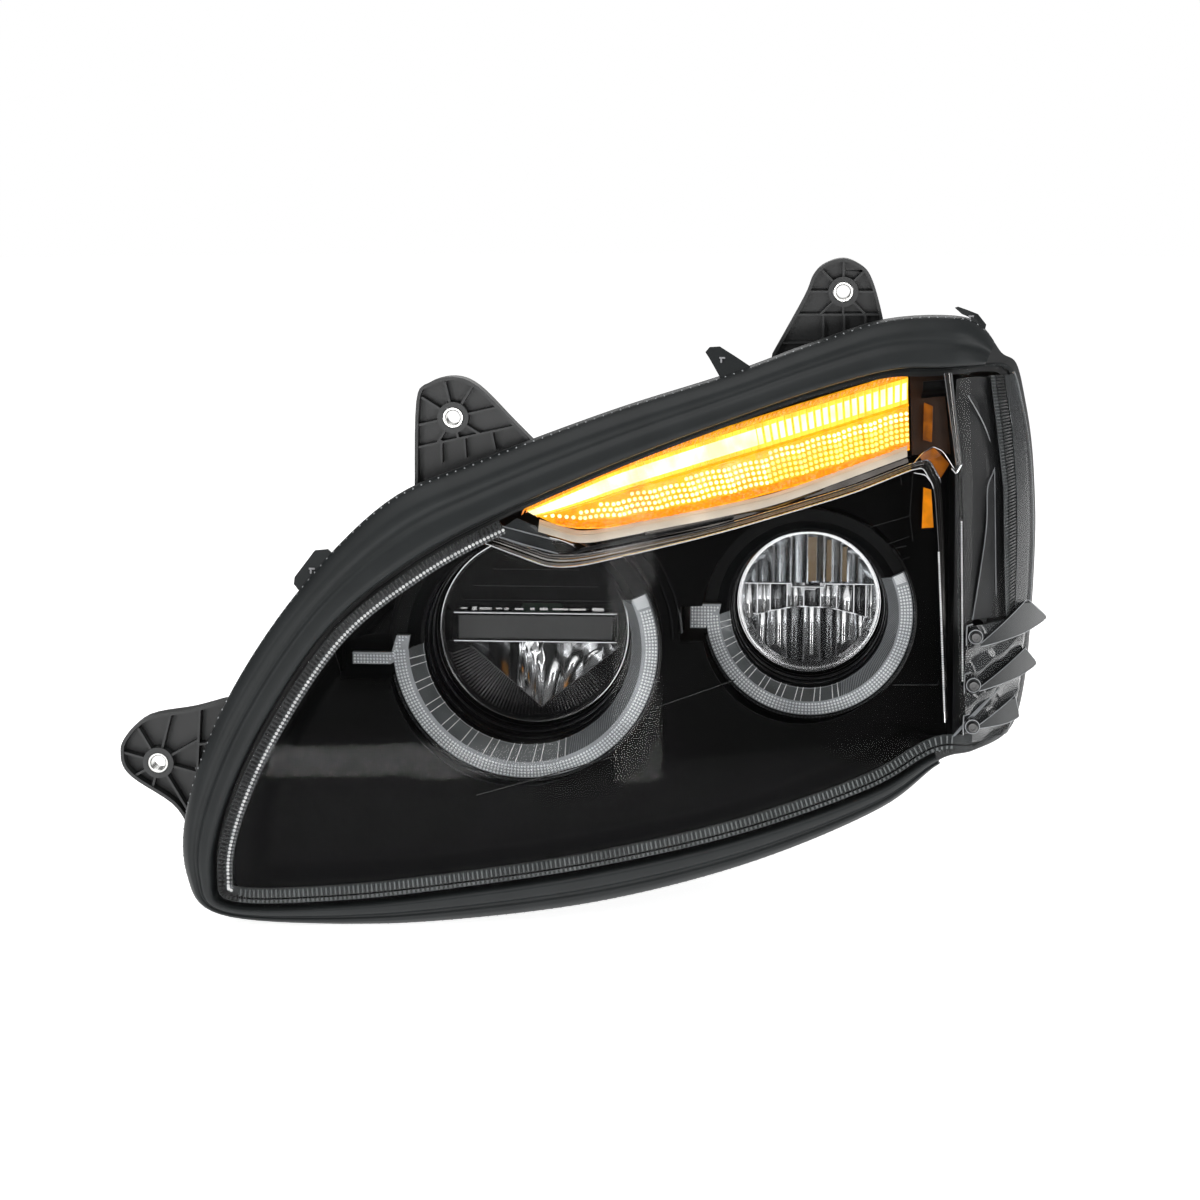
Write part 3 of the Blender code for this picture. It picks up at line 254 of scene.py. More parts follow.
# The high beam's inside radius, the height of its shelf, and the borders of its flutes and facets.
HIGH_REACH = 52.0
SHELF_RISE = 13.0
FLUTE_BORDERS = [-51.0, -40.7, -27.5, -14.3, -1.4, 11.4, 24.5, 37.7, 49.5]
FACET_BORDERS = [-51, -40, -30, -17, -4, 9, 21.5, 34.7, 44, 51]
LOW_ARM = [(-137, -19.5), (-147, -19.5), (-151, -32.5), (-180, -32.5), (-180, -41.5), (-152, -41.5)]
HIGH_ARM = [(90.5, -5), (67, -5), (67, -23.5), (79, -23.5)]


# Stage, in metres and degrees: the camera, and the soft lights as name, place, size and power.
CAMERA_TARGET = (0.0035, -0.0473, -0.014)
CAMERA_AZIMUTH = 4
CAMERA_ELEVATION = 10
CAMERA_DISTANCE = 2.125
LIGHTS = [
    ("top_soft", (0, -0.5, 2.2), (2.6, 1.8), 30),
    ("left_soft", (-2.2, -1.4, 1.1), (0.7, 1.8), 14),
    ("right_rim", (2.3, -0.6, 0.7), (0.5, 1.8), 12),
    ("rear_soft", (0.3, 2.2, 1.3), (2.0, 1.0), 14),
    ("front_strip_left", (-0.9, -2.6, 0.35), (0.22, 1.6), 9),
    ("front_strip_right", (1.1, -2.5, 0.35), (0.22, 1.6), 8),
    ("front_low", (0.1, -2.4, -0.10), (1.2, 0.12), 5),
]


# ---------------------------------------------------------------- formulas
def place(x, y, z):
    """A point of the lamp in the frame's metres."""
    return Vector((x - BOX_CENTRE[0], y - BOX_CENTRE[1], z - BOX_CENTRE[2])) * MM


def lens_depth(x, z):
    """Depth of the outer face of the lens at x, z."""
    depth = LENS_FRONT + LENS_SWEEP[0] * x + LENS_SWEEP[1] * x * x
    depth += LENS_RAKE[0] * z + LENS_RAKE[1] * z * z
    if x > WRAP_START:
        depth += WRAP_DEPTH * ((x - WRAP_START) / WRAP_WIDTH) ** 2
    return depth


def behind_lens(x, z, offset):
    """A point at a depth behind the outer face of the lens."""
    return (x, lens_depth(x, z) + offset, z)


def rear_wall(x):
    """Depth of the outer face of the slanted rear wall."""
    return REAR_WALL_Y + REAR_WALL_SLOPE * x


def behind_wall(x, z, distance):
    """A point at a distance behind the slanted rear wall."""
    return (x - math.sin(WALL_TURN) * distance, rear_wall(x) + math.cos(WALL_TURN) * distance, z)


def spoke(degrees):
    """The direction square to Y at an angle from +X towards +Z, and the one across it."""
    angle = math.radians(degrees)
    return Vector((math.cos(angle), 0, math.sin(angle))), Vector((-math.sin(angle), 0, math.cos(angle)))


def spline(points, steps, closed=False):
    """Points along a smooth curve through the given points of any dimension."""
    count = len(points)
    spans = count if closed else count - 1
    result = []
    for span in range(spans):
        if closed:
            four = [points[(span + shift) % count] for shift in (-1, 0, 1, 2)]
        else:
            four = [points[min(max(span + shift, 0), count - 1)] for shift in (-1, 0, 1, 2)]
        for step in range(steps):
            t = step / steps
            weights = (
                (-t + 2 * t * t - t ** 3) / 2,
                (2 - 5 * t * t + 3 * t ** 3) / 2,
                (t + 4 * t * t - 3 * t ** 3) / 2,
                (t ** 3 - t * t) / 2,
            )
            result.append(tuple(
                sum(weight * point[axis] for weight, point in zip(weights, four))
                for axis in range(len(points[0]))
            ))
    if not closed:
        result.append(tuple(points[-1]))
    return result


def resample(path, count):
    """The same path with evenly spaced points, counted with both ends."""
    lengths = [0.0]
    for first, second in zip(path, path[1:]):
        lengths.append(lengths[-1] + math.dist(first, second))
    result = []
    span = 0
    for index in range(count):
        wanted = lengths[-1] * index / (count - 1)
        while span < len(path) - 2 and lengths[span + 1] < wanted:
            span += 1
        share = (wanted - lengths[span]) / (lengths[span + 1] - lengths[span])
        result.append(tuple(a + (b - a) * share for a, b in zip(path[span], path[span + 1])))
    return result


def blend_paths(first, second, share):
    return [tuple(a + (b - a) * share for a, b in zip(p, q)) for p, q in zip(first, second)]


STATION_LOOP = spline(STATIONS, OUTLINE_STEPS, closed=True)
RIM_BOTTOM = min(station[1] for station in STATIONS)
RIM = [(s[0], max(s[1], RIM_BOTTOM)) for s in STATION_LOOP]
EDGE = [(s[2], s[3]) for s in STATION_LOOP]


def scaled(outline, scale):
    """The outline drawn in towards the outline centre."""
    cx, cz = OUTLINE_CENTRE
    return [(cx + (x - cx) * scale, cz + (z - cz) * scale) for x, z in outline]


def inset(path, distance, closed=False):
    """The path moved to its left by a distance, which is inwards on a counter-clockwise loop."""
    count = len(path)
    result = []
    for index, (x, z) in enumerate(path):
        if closed:
            before, after = path[index - 1], path[(index + 1) % count]
        else:
            before, after = path[max(index - 1, 0)], path[min(index + 1, count - 1)]
        dx, dz = after[0] - before[0], after[1] - before[1]
        length = math.hypot(dx, dz) or 1.0
        result.append((x - dz / length * distance, z + dx / length * distance))
    return result


def on_lens(outline, offset):
    """An x, z outline laid at a distance behind the lens face."""
    return [behind_lens(x, z, offset) for x, z in outline]


def arc(x, z, radius, first, last, steps):
    """Points of an arc in degrees, counted from +X towards +Z."""
    angles = [math.radians(first + (last - first) * i / steps) for i in range(steps + 1)]
    return [(x + radius * math.cos(a), z + radius * math.sin(a)) for a in angles]


# ---------------------------------------------------------------- mesh helpers
class Shape:
    """Points in lamp millimetres and faces, gathered into one mesh."""

    def __init__(self):
        self.points = []
        self.faces = []

    def add(self, points, faces):
        start = len(self.points)
        self.points += [tuple(point) for point in points]
        self.faces += [tuple(start + i for i in face) for face in faces]
        return self

    def grid(self, rows, closed=False, flip=False):
        """Quads between rows of points; closed joins the last column to the first."""
        count = len(rows[0])
        faces = []
        for row in range(len(rows) - 1):
            for column in range(count if closed else count - 1):
                after = (column + 1) % count
                low, high = row * count, (row + 1) * count
                face = (low + column, low + after, high + after, high + column)
                faces.append(face[::-1] if flip else face)
        return self.add([point for row in rows for point in row], faces)

    def loft(self, rings, caps=True, ring_closed=True):
        """A solid through closed rings, with flat ends."""
        count = len(rings[0])
        start = len(self.points)
        self.grid(rings, closed=ring_closed)
        if caps:
            last = start + (len(rings) - 1) * count
            self.faces.append(tuple(range(start, start + count)))
            self.faces.append(tuple(range(last, last + count)))
        return self

    def slab(self, rows, thickness, closed=False):
        """A sheet with a thickness along the depth, from its rows of front points."""
        rear = [[(x, y + thickness, z) for x, y, z in row] for row in rows]
        self.grid(rows, closed)
        self.grid(rear, closed, flip=True)
        self.grid([rows[0], rear[0]], closed, flip=True)
        self.grid([rows[-1], rear[-1]], closed)
        if not closed:
            self.grid([[row[0] for row in rows], [row[0] for row in rear]])
            self.grid([[row[-1] for row in rows], [row[-1] for row in rear]], flip=True)
        return self

    def box(self, centre, size, turn=0.0):
        """A box turned about the upright through its centre."""
        corners = []
        for sx, sy, sz in ((-1, -1, -1), (1, -1, -1), (1, 1, -1), (-1, 1, -1),
                           (-1, -1, 1), (1, -1, 1), (1, 1, 1), (-1, 1, 1)):
            dx, dy, dz = sx * size[0] / 2, sy * size[1] / 2, sz * size[2] / 2
            corners.append((centre[0] + dx * math.cos(turn) - dy * math.sin(turn),
                            centre[1] + dx * math.sin(turn) + dy * math.cos(turn), centre[2] + dz))
        return self.add(corners, [(3, 2, 1, 0), (4, 5, 6, 7), (0, 1, 5, 4), (1, 2, 6, 5),
                                  (2, 3, 7, 6), (3, 0, 4, 7)])

    def bar(self, start, end, across, upright):
        """A four-sided bar from start to end, with two half-width vectors."""
        s, e, a, u = Vector(start), Vector(end), Vector(across), Vector(upright)
        ring = [-a - u, a - u, a + u, -a + u]
        return self.loft([[s + corner for corner in ring], [e + corner for corner in ring]])

    def dome(self, centre, radius, height, sides=8, rows=2):
        """A small dome standing towards the front."""
        x, y, z = centre
        rings = []
        for row in range(rows):
            tilt = math.pi / 2 * row / rows
            reach, rise = radius * math.cos(tilt), height * math.sin(tilt)
            rings.append([(x + reach * math.cos(2 * math.pi * i / sides), y - rise,
                           z + reach * math.sin(2 * math.pi * i / sides)) for i in range(sides)])
        start = len(self.points)
        self.grid(rings, closed=True)
        top = len(self.points)
        self.points.append((x, y - height, z))
        last = start + (rows - 1) * sides
        self.faces += [(last + i, last + (i + 1) % sides, top) for i in range(sides)]
        self.faces.append(tuple(start + i for i in reversed(range(sides))))
        return self

    def turned(self, profile, x, z, steps=96, first=0.0, last=360.0):
        """A closed (radius, depth) profile turned about a line along Y."""
        whole = abs(last - first - 360.0) < 1e-6
        count = steps if whole else steps + 1
        rings = []
        for step in range(count):
            angle = math.radians(first + (last - first) * step / steps)
            rings.append([(x + r * math.cos(angle), y, z + r * math.sin(angle)) for r, y in profile])
        if whole:
            return self.grid(rings + [rings[0]], closed=True)
        return self.loft(rings)

    def tube(self, path, radius, sides=8):
        """A round bar along a path."""
        rings = []
        for index, point in enumerate(path):
            before = Vector(path[max(index - 1, 0)])
            after = Vector(path[min(index + 1, len(path) - 1)])
            along = (after - before).normalized()
            side = along.cross(Vector((0, 1, 0)))
            if side.length < 0.1:
                side = along.cross(Vector((0, 0, 1)))
            side.normalize()
            over = along.cross(side)
            rings.append([
                Vector(point) + side * radius * math.cos(2 * math.pi * i / sides)
                + over * radius * math.sin(2 * math.pi * i / sides) for i in range(sides)
            ])
        return self.loft(rings)


def tubes(paths, radius, sides=6):
    """Round bars along several paths, as one shape."""
    shape = Shape()
    for path in paths:
        shape.tube(path, radius, sides)
    return shape


def boxes(places):
    """Boxes from pairs of centre and size, as one shape."""
    shape = Shape()
    for centre, size in places:
        shape.box(centre, size)
    return shape


def dome_row(path, offset, radius, height):
    """A row of small six-sided domes along an outline behind the lens face."""
    shape = Shape()
    for point in on_lens(path, offset):
        shape.dome(point, radius, height, 6)
    return shape


def patch(columns, rows, formula):
    """Rows of points from a formula of the share across and the share up."""
    return [[formula(column / columns, row / rows) for column in range(columns + 1)]
            for row in range(rows + 1)]


def mesh_of(name, shape):
    """A Blender mesh from a shape, with its normals facing out."""
    mesh = bpy.data.meshes.new(name)
    mesh.from_pydata([place(*point) for point in shape.points], [], shape.faces)
    work = bmesh.new()
    work.from_mesh(mesh)
    bmesh.ops.remove_doubles(work, verts=work.verts, dist=MERGE)
    bmesh.ops.dissolve_degenerate(work, edges=work.edges, dist=MERGE)
    bmesh.ops.recalc_face_normals(work, faces=work.faces)
    work.to_mesh(mesh)
    work.free()
    return mesh


def piece(name, shape, finish, body="lamp_housing", replaces=(), sharp=35.0, bevel=0.0, slot=None):
    """One visible piece: its mesh, finish, body, and the CAD nodes it stands for."""
    finish = FINISH[finish]
    mesh = mesh_of(name, shape) if isinstance(shape, Shape) else shape
    made = bpy.data.objects.new(name, mesh)
    bpy.context.scene.collection.objects.link(made)
    mesh.materials.clear()
    mesh.materials.append(finish)
    mesh.shade_smooth()
    mesh.set_sharp_from_angle(angle=math.radians(sharp))
    if bevel:
        rounding = made.modifiers.new("rounding", "BEVEL")
        rounding.width = bevel * MM
        rounding.segments = 2
        rounding.limit_method = "ANGLE"
        rounding.angle_limit = math.radians(40)
        rounding.harden_normals = True
    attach(made, body)
    if replaces:
        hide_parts(*replaces)
    return made


def beam_piece(name, shape, finish, **options):
    """A visible piece that tilts with the beam modules."""
    return piece(name, shape, finish, body="beam_carrier", **options)


def carve(mesh, cutters, operation="DIFFERENCE", crossed=False):
    """The mesh after Boolean steps with other meshes, which are used up; crossed ones cut themselves."""
    whole = bpy.data.objects.new("whole", mesh)
    bpy.context.scene.collection.objects.link(whole)
    tools = []
    for cutter in cutters:
        tool = bpy.data.objects.new("tool", cutter)
        bpy.context.scene.collection.objects.link(tool)
        step = whole.modifiers.new("step", "BOOLEAN")
        step.operation = operation
        step.object = tool
        step.solver = "EXACT"
        step.use_self = crossed
        tools.append(tool)
    bpy.context.view_layer.update()
    seen = whole.evaluated_get(bpy.context.evaluated_depsgraph_get())
    result = bpy.data.meshes.new_from_object(seen)
    for old in [whole, *tools]:
        bpy.data.objects.remove(old, do_unlink=True)
    return result


def plate(name, outlines, start, end):
    """A flat plate mesh: closed x, z outlines, the later ones holes, between two depths."""
    curve = bpy.data.curves.new(name, "CURVE")
    curve.dimensions = "2D"
    curve.fill_mode = "BOTH"
    curve.extrude = (end - start) / 2 * MM
    for outline in outlines:
        line = curve.splines.new("POLY")
        line.points.add(len(outline) - 1)
        for point, (x, z) in zip(line.points, outline):
            point.co = ((x - BOX_CENTRE[0]) * MM, (z - BOX_CENTRE[2]) * MM, 0, 1)
        line.use_cyclic_u = True
    drawn = bpy.data.objects.new(name, curve)
    bpy.context.scene.collection.objects.link(drawn)
    drawn.rotation_euler = (math.pi / 2, 0, 0)
    drawn.location = (0, ((start + end) / 2 - BOX_CENTRE[1]) * MM, 0)
    bpy.context.view_layer.update()
    seen = drawn.evaluated_get(bpy.context.evaluated_depsgraph_get())
    mesh = bpy.data.meshes.new_from_object(seen)
    mesh.transform(drawn.matrix_world)
    bpy.data.objects.remove(drawn, do_unlink=True)
    work = bmesh.new()
    work.from_mesh(mesh)
    bmesh.ops.remove_doubles(work, verts=work.verts, dist=MERGE)
    bmesh.ops.recalc_face_normals(work, faces=work.faces)
    work.to_mesh(mesh)
    work.free()
    return mesh


def bend(mesh, depth_shift):
    """Move each point of a mesh in depth by a formula of its x, z in millimetres."""
    for vertex in mesh.vertices:
        x = vertex.co.x / MM + BOX_CENTRE[0]
        z = vertex.co.z / MM + BOX_CENTRE[2]
        vertex.co.y += depth_shift(x, z) * MM
    return mesh


def drum(radius, start, end, x, z, steps=64):
    """A plain cylinder along Y, used as a cutter."""
    ring = arc(x, z, radius, 0, 360 - 360 / steps, steps - 1)
    return mesh_of("drum", Shape().loft([[(px, y, pz) for px, pz in ring] for y in (start, end)]))


# ---------------------------------------------------------------- finishes
def add_noise(nodes, links, scale, detail, stretch):
    """A noise texture laid over a piece in its own space."""
    where = nodes.new("ShaderNodeTexCoord")
    scaling = nodes.new("ShaderNodeMapping")
    scaling.inputs["Scale"].default_value = stretch
    links.new(where.outputs["Object"], scaling.inputs["Vector"])
    noise = nodes.new("ShaderNodeTexNoise")
    noise.inputs["Scale"].default_value = scale
    noise.inputs["Detail"].default_value = detail
    links.new(scaling.outputs["Vector"], noise.inputs["Vector"])
    return noise.outputs["Fac"]


def add_range(nodes, links, source, low, high, target):
    """A source rescaled between two values and led to a socket."""
    scale = nodes.new("ShaderNodeMapRange")
    scale.inputs["To Min"].default_value = low
    scale.inputs["To Max"].default_value = high
    links.new(source, scale.inputs["Value"])
    links.new(scale.outputs["Result"], target)
    return scale


def surface(name, slot, colour, roughness, metallic=0.0, grain=700.0, relief=0.15, mottle=0.2,
            stretch=(1, 1, 1), **sockets):
    """A Principled finish whose colour, gloss and relief vary with fine noise."""
    made = bpy.data.materials.new(name)
    made["slot"] = slot
    made.use_nodes = True
    nodes, links = made.node_tree.nodes, made.node_tree.links
    shader = nodes["Principled BSDF"]
    noise = add_noise(nodes, links, grain, 5.0, stretch)
    shade = nodes.new("ShaderNodeValToRGB")
    for element, position, level in zip(shade.color_ramp.elements, (0.3, 0.7), (1 - mottle, 1 + mottle)):
        element.position = position
        element.color = (*[min(c * level, 1) for c in colour], 1)
    links.new(add_noise(nodes, links, grain / 30, 2.0, stretch), shade.inputs["Fac"])
    links.new(shade.outputs["Color"], shader.inputs["Base Color"])
    spread = 0.2 if relief >= 0.1 else 0.03
    add_range(nodes, links, noise, roughness * (1 - spread), min(roughness * (1 + spread), 1),
              shader.inputs["Roughness"])
    bump = nodes.new("ShaderNodeBump")
    bump.inputs["Strength"].default_value = relief
    bump.inputs["Distance"].default_value = 0.0002
    links.new(noise, bump.inputs["Height"])
    links.new(bump.outputs["Normal"], shader.inputs["Normal"])
    shader.inputs["Metallic"].default_value = metallic
    for socket, value in sockets.items():
        shader.inputs[socket.replace("_", " ")].default_value = value
    return made


def glowing(made, colour, strength, grain, low):
    """Light from within a finish, stronger and weaker in small patches."""
    nodes, links = made.node_tree.nodes, made.node_tree.links
    shader = nodes["Principled BSDF"]
    shader.inputs["Emission Color"].default_value = (*colour, 1)
    cells = add_noise(nodes, links, grain, 2.0, (1, 1, 1))
    power = add_range(nodes, links, cells, strength * low, strength, shader.inputs["Emission Strength"])
    power.inputs["From Min"].default_value = 0.35
    power.inputs["From Max"].default_value = 0.65


def make_finishes():
    """Every finish of the lamp by name: slot, colour, roughness, metal share, options of surface()."""
    dim = {"Specular_IOR_Level": 0.25}
    table = {
        "housing": ("housing_plastic", (0.020, 0.021, 0.0215), 0.40, 0, dict(relief=0.35, grain=900)),
        "driver": ("aluminium", (0.42, 0.43, 0.44), 0.45, 1, dict(relief=0.5, grain=500)),
        "bezel": ("bezel_plastic", (0.0011, 0.0011, 0.0012), 0.46, 0,
            dict(relief=0.0, mottle=0.3, Specular_IOR_Level=0.04)),
        "gloss": ("bezel_plastic", (0.003, 0.003, 0.003), 0.20, 0, dict(relief=0.0, **dim)),
        # A lighter copy of the bezel plastic: painted highlights along the bezel's folds and ridges.
        "ridge_highlight": ("bezel_plastic", (0.012, 0.0125, 0.013), 0.22, 0, dict(relief=0.05)),
        "board_dark": ("circuit_board", (0.0014, 0.0016, 0.0015), 0.5, 0,
            dict(relief=0.2, grain=260, Specular_IOR_Level=0.01)),
        "rubber": ("seal_rubber", (0.0125, 0.0145, 0.0152), 0.44, 0,
            dict(relief=0.2, grain=1100, mottle=0.12, Specular_IOR_Level=0.28)),
        "peg_grey": ("seal_rubber", (0.24, 0.24, 0.25), 0.4, 0, dict(relief=0.1)),
        "border_grey": ("clear_lens", (0.034, 0.0375, 0.0385), 0.3, 0, dict(relief=0.1, mottle=0.2, **dim)),
        "border_light": ("clear_lens", (0.14, 0.15, 0.152), 0.25, 0, dict(relief=0.1, mottle=0.3, **dim)),
        "bead_bright": ("light_guide", (0.85, 0.87, 0.89), 0.30, 0,
            dict(relief=0.02, mottle=0.35, grain=4000)),
        "panel_dark": ("bezel_plastic", (0.013, 0.0135, 0.014), 0.32, 0, dict(relief=0.05, **dim)),
        "panel_mid": ("bezel_plastic", (0.026, 0.027, 0.028), 0.3, 0, dict(relief=0.05, **dim)),
        "panel_light": ("bezel_plastic", (0.045, 0.046, 0.047), 0.3, 0, dict(relief=0.05, **dim)),
        "panel_brown": ("amber", (0.035, 0.018, 0.010), 0.25, 0, dict(relief=0.05, mottle=0.5, grain=500)),
        "trim_brown": ("chrome", (0.085, 0.078, 0.072), 0.16, 1, dict(relief=0.02, mottle=0.4, grain=900)),
        "foot_glass": ("clear_lens", (0.045, 0.048, 0.05), 0.08, 0,
            dict(relief=0.0, mottle=0.6, grain=900, Alpha=0.92, Coat_Weight=1.0)),
        "clear": ("clear_lens", (0.004, 0.004, 0.004), 0.05, 0,
            dict(relief=0.01, mottle=0.05, Alpha=0.06, Specular_IOR_Level=0.5)),
        "wrap_smoke": ("clear_lens", (0.042, 0.045, 0.047), 0.22, 0,
            dict(relief=0.0, mottle=0.3, grain=200, stretch=(1, 1, 0.1))),
        "clear_fin": ("clear_lens", (0.022, 0.024, 0.025), 0.14, 0,
            dict(relief=0.0, mottle=0.5, grain=500, Alpha=0.95, Specular_IOR_Level=0.3)),
        "glass": ("inner_glass", (0.05, 0.052, 0.055), 0.03, 0, dict(relief=0.01, Alpha=0.07)),
        "guide": ("light_guide", (0.26, 0.275, 0.29), 0.35, 0, dict(relief=0.05, mottle=0.25)),
        "bead": ("light_guide", (0.78, 0.82, 0.86), 0.32, 0, dict(relief=0.02, mottle=0.25)),
        "guide_wall": ("light_guide", (0.125, 0.136, 0.14), 0.18, 0,
            dict(relief=0.1, mottle=0.5, grain=400, Coat_Weight=0.5)),
        "collar_dark": ("bezel_plastic", (0.0022, 0.0024, 0.0025), 0.38, 0,
            dict(relief=0.0, Specular_IOR_Level=0.06)),
        "screw_dark": ("steel", (0.09, 0.09, 0.09), 0.30, 1, dict(relief=0.15, grain=450)),
        "guide_dark": ("light_guide", (0.035, 0.038, 0.04), 0.2, 0,
            dict(relief=0.15, mottle=0.6, grain=500, Coat_Weight=0.4)),
        "guide_edge": ("light_guide", (0.25, 0.26, 0.27), 0.25, 0,
            dict(relief=0.1, mottle=0.3, Coat_Weight=0.4)),
        "chrome": ("chrome", (0.78, 0.79, 0.81), 0.11, 1, dict(relief=0.0, mottle=0.03)),
        "chrome_dim": ("chrome", (0.17, 0.165, 0.16), 0.10, 1, dict(relief=0.02, mottle=0.3, grain=900)),
        "reflector": ("metallised", (0.80, 0.81, 0.82), 0.20, 1, dict(relief=0.0, grain=250, mottle=0.05)),
        # A darker copy of the reflector finish, for chrome facets painted in shade.
        "reflector_painted_shade": ("metallised", (0.16, 0.165, 0.17), 0.22, 1,
            dict(relief=0.0, grain=250, mottle=0.1)),
        "amber_deep": ("amber", (0.8, 0.22, 0.005), 0.2, 0, dict(relief=0.3)),
        "amber": ("amber", (0.9, 0.30, 0.01), 0.18, 0, dict(relief=0.2)),
        "amber_hot": ("amber", (1.0, 0.45, 0.05), 0.18, 0, {}),
        "amber_led": ("amber", (1.0, 0.7, 0.2), 0.2, 0, {}),
        # Dim amber with a faint glow: the painted amber reflection on the marker facet and the painted glow
        # on the streak above it.
        "amber_painted_glow": ("amber", (0.16, 0.045, 0.004), 0.2, 0, dict(relief=0.1)),
        "ledge": ("light_guide", (0.62, 0.56, 0.48), 0.3, 0, dict(relief=0.05)),
        "amber_window": ("amber", (0.8, 0.28, 0.01), 0.15, 0, dict(relief=0.2, Alpha=0.45)),
        "amber_mid": ("amber", (0.8, 0.25, 0.01), 0.2, 0, {}),
        "white_hot": ("amber", (1.0, 0.85, 0.5), 0.2, 0, {}),
        "ring_grey": ("chrome", (0.17, 0.17, 0.175), 0.2, 1, dict(relief=0.05)),
        "bar_grey": ("bezel_plastic", (0.022, 0.024, 0.024), 0.3, 0, dict(relief=0.1)),
        "bits_grey": ("metallised", (0.35, 0.35, 0.35), 0.25, 0.8, dict(relief=0.2, mottle=0.6, grain=300)),
        "flute_grey": ("metallised", (0.42, 0.44, 0.46), 0.22, 1, dict(relief=0.1, mottle=0.15, grain=250)),
        "board": ("circuit_board", (0.015, 0.085, 0.04), 0.4, 0, dict(relief=0.6, grain=260, mottle=0.5)),
        "tan": ("circuit_board", (0.30, 0.20, 0.09), 0.5, 0, dict(relief=0.4, grain=400, mottle=0.35)),
        "aluminium": ("aluminium", (0.55, 0.56, 0.57), 0.34, 1,
            dict(relief=0.2, grain=300, stretch=(1, 8, 1))),
        "steel": ("steel", (0.66, 0.66, 0.64), 0.26, 1, dict(relief=0.15, grain=450, mottle=0.1)),
        "nylon": ("nylon", (0.56, 0.54, 0.47), 0.42, 0, dict(relief=0.2, grain=800, mottle=0.08)),
    }
    # Lit finishes: colour of the light, strength, grain of its patches, share left between them.
    lit = {
        "amber_deep": ((1.0, 0.27, 0.0), 1.0, 500, 0.35),
        "amber": ((1.0, 0.36, 0.0), 1.1, 160, 0.5),
        "amber_hot": ((1.0, 0.56, 0.04), 1.5, 60, 0.5),
        "amber_led": ((1.0, 0.70, 0.16), 1.9, 80, 0.7),
        # Faint glow of the painted amber reflection on the marker facet and streak.
        "amber_painted_glow": ((1.0, 0.28, 0.0), 0.22, 120, 0.15),
        "ledge": ((1.0, 0.86, 0.66), 0.16, 40, 0.5),
        "amber_window": ((1.0, 0.50, 0.01), 1.25, 160, 0.6),
        "amber_mid": ((1.0, 0.30, 0.0), 0.55, 120, 0.4),
        "white_hot": ((1.0, 0.82, 0.34), 2.6, 55, 0.38),
    }
    made = {name: surface(name, *row[:4], **row[4]) for name, row in table.items()}
    for name, row in lit.items():
        glowing(made[name], *row)
    return made


FINISH = make_finishes()


# ---------------------------------------------------------------- housing
def tub_rings(inward, forward):
    """Rings of the tub wall from behind the flange to the rear wall."""
    rings = []
    for scale, share in spline(TUB_ROWS, 3):
        ring = []
        for (rim_x, rim_z), (x, z) in zip(RIM, scaled(RIM, scale - inward)):
            front = lens_depth(rim_x, rim_z) + FLANGE_OFFSET + FLANGE_THICK + 1.0
            ring.append((x, front + (rear_wall(x) - forward - front) * share, z))
        rings.append(ring)
    return rings


def make_tub():
    """The wall of the tub with its rounded flange, as one turned-over shell."""
    mouth = scaled(EDGE, MOUTH_SCALE)
    back = FLANGE_OFFSET + FLANGE_THICK
    lip = inset(RIM, 0.8, closed=True)
    rings = tub_rings(0.0, 0.0)[::-1]
    rings += [on_lens(lip, back), on_lens(RIM, back - 0.9), on_lens(RIM, FLANGE_OFFSET + 0.9),
              on_lens(lip, FLANGE_OFFSET)]
    rings += [on_lens(ring, FLANGE_OFFSET) for ring in (EDGE, scaled(EDGE, 0.98), mouth)]
    rings += [on_lens(mouth, back)] + tub_rings(WALL_SHRINK, SHELL_THICK)
    shape = Shape().grid(rings + [rings[0]], closed=True)
    piece("housing_tub", shape, "housing", replaces=["housing"])


def make_rear_wall():
    """The slanted rear wall with its service holes."""
    outline = scaled(RIM, TUB_ROWS[-1][0] - 0.002)
    holes = [arc(b["x"], b["z"], b["turret_r"] - TURRET_WALL, 0, 355, 71) for b in (LOW, HIGH)]
    x, z, wide, high = SOCKET
    half_wide, half_high = (wide - 8) / 2, (high - 8) / 2
    holes.append([(x - half_wide, z - half_high), (x + half_wide, z - half_high),
                  (x + half_wide, z + half_high), (x - half_wide, z + half_high)])
    holes.append(arc(ADJUSTER_X, ADJUSTER_Z, 7.0, 0, 345, 23))
    mesh = bend(plate("rear_wall", [outline] + holes, -SHELL_THICK, 0.0), lambda x, z: rear_wall(x))
    piece("housing_rear_wall", mesh, "housing")


def clear_of_rear_parts(x, z):
    """Whether a place on the rear wall is free of turrets, driver, socket, vent and boss."""
    for beam in (LOW, HIGH):
        if math.dist((x, z), (beam["x"], beam["z"])) < beam["turret_r"] - 1:
            return False
    for px, pz, wide, high in (SOCKET, DRIVER):
        if abs(x - px) < wide / 2 + 2 and abs(z - pz) < high / 2 + 2:
            return False
    near_boss = math.dist((x, z), (ADJUSTER_X, ADJUSTER_Z)) < 12
    near_vent = math.dist((x, z), VENT) < 13
    return not near_boss and not near_vent


def inside(outline, x, z):
    """Whether a point lies inside a closed outline."""
    odd = False
    for (ax, az), (bx, bz) in zip(outline, outline[1:] + outline[:1]):
        if (az > z) != (bz > z) and x < ax + (z - az) / (bz - az) * (bx - ax):
            odd = not odd
    return odd


def make_rear_ribs():
    """A lattice of stiffening ribs that stands on the rear wall between the other pieces."""
    outline = scaled(RIM, TUB_ROWS[-1][0] - 0.02)
    shape = Shape()
    step, height, half = 3.0, 6.0, 0.9
    for line in range(-9, 12):
        fixed = line * 28.0 + 6.0
        for upright in (True, False):
            run = []
            for index in range(-110, 120):
                along = index * step
                x, z = (fixed, along) if upright else (along, fixed)
                if inside(outline, x, z) and clear_of_rear_parts(x, z):
                    run.append((x, z))
                    continue
                add_rib(shape, run, upright, height, half)
                run = []
            add_rib(shape, run, upright, height, half)
    piece("housing_rear_ribs", shape, "housing", bevel=0.35)


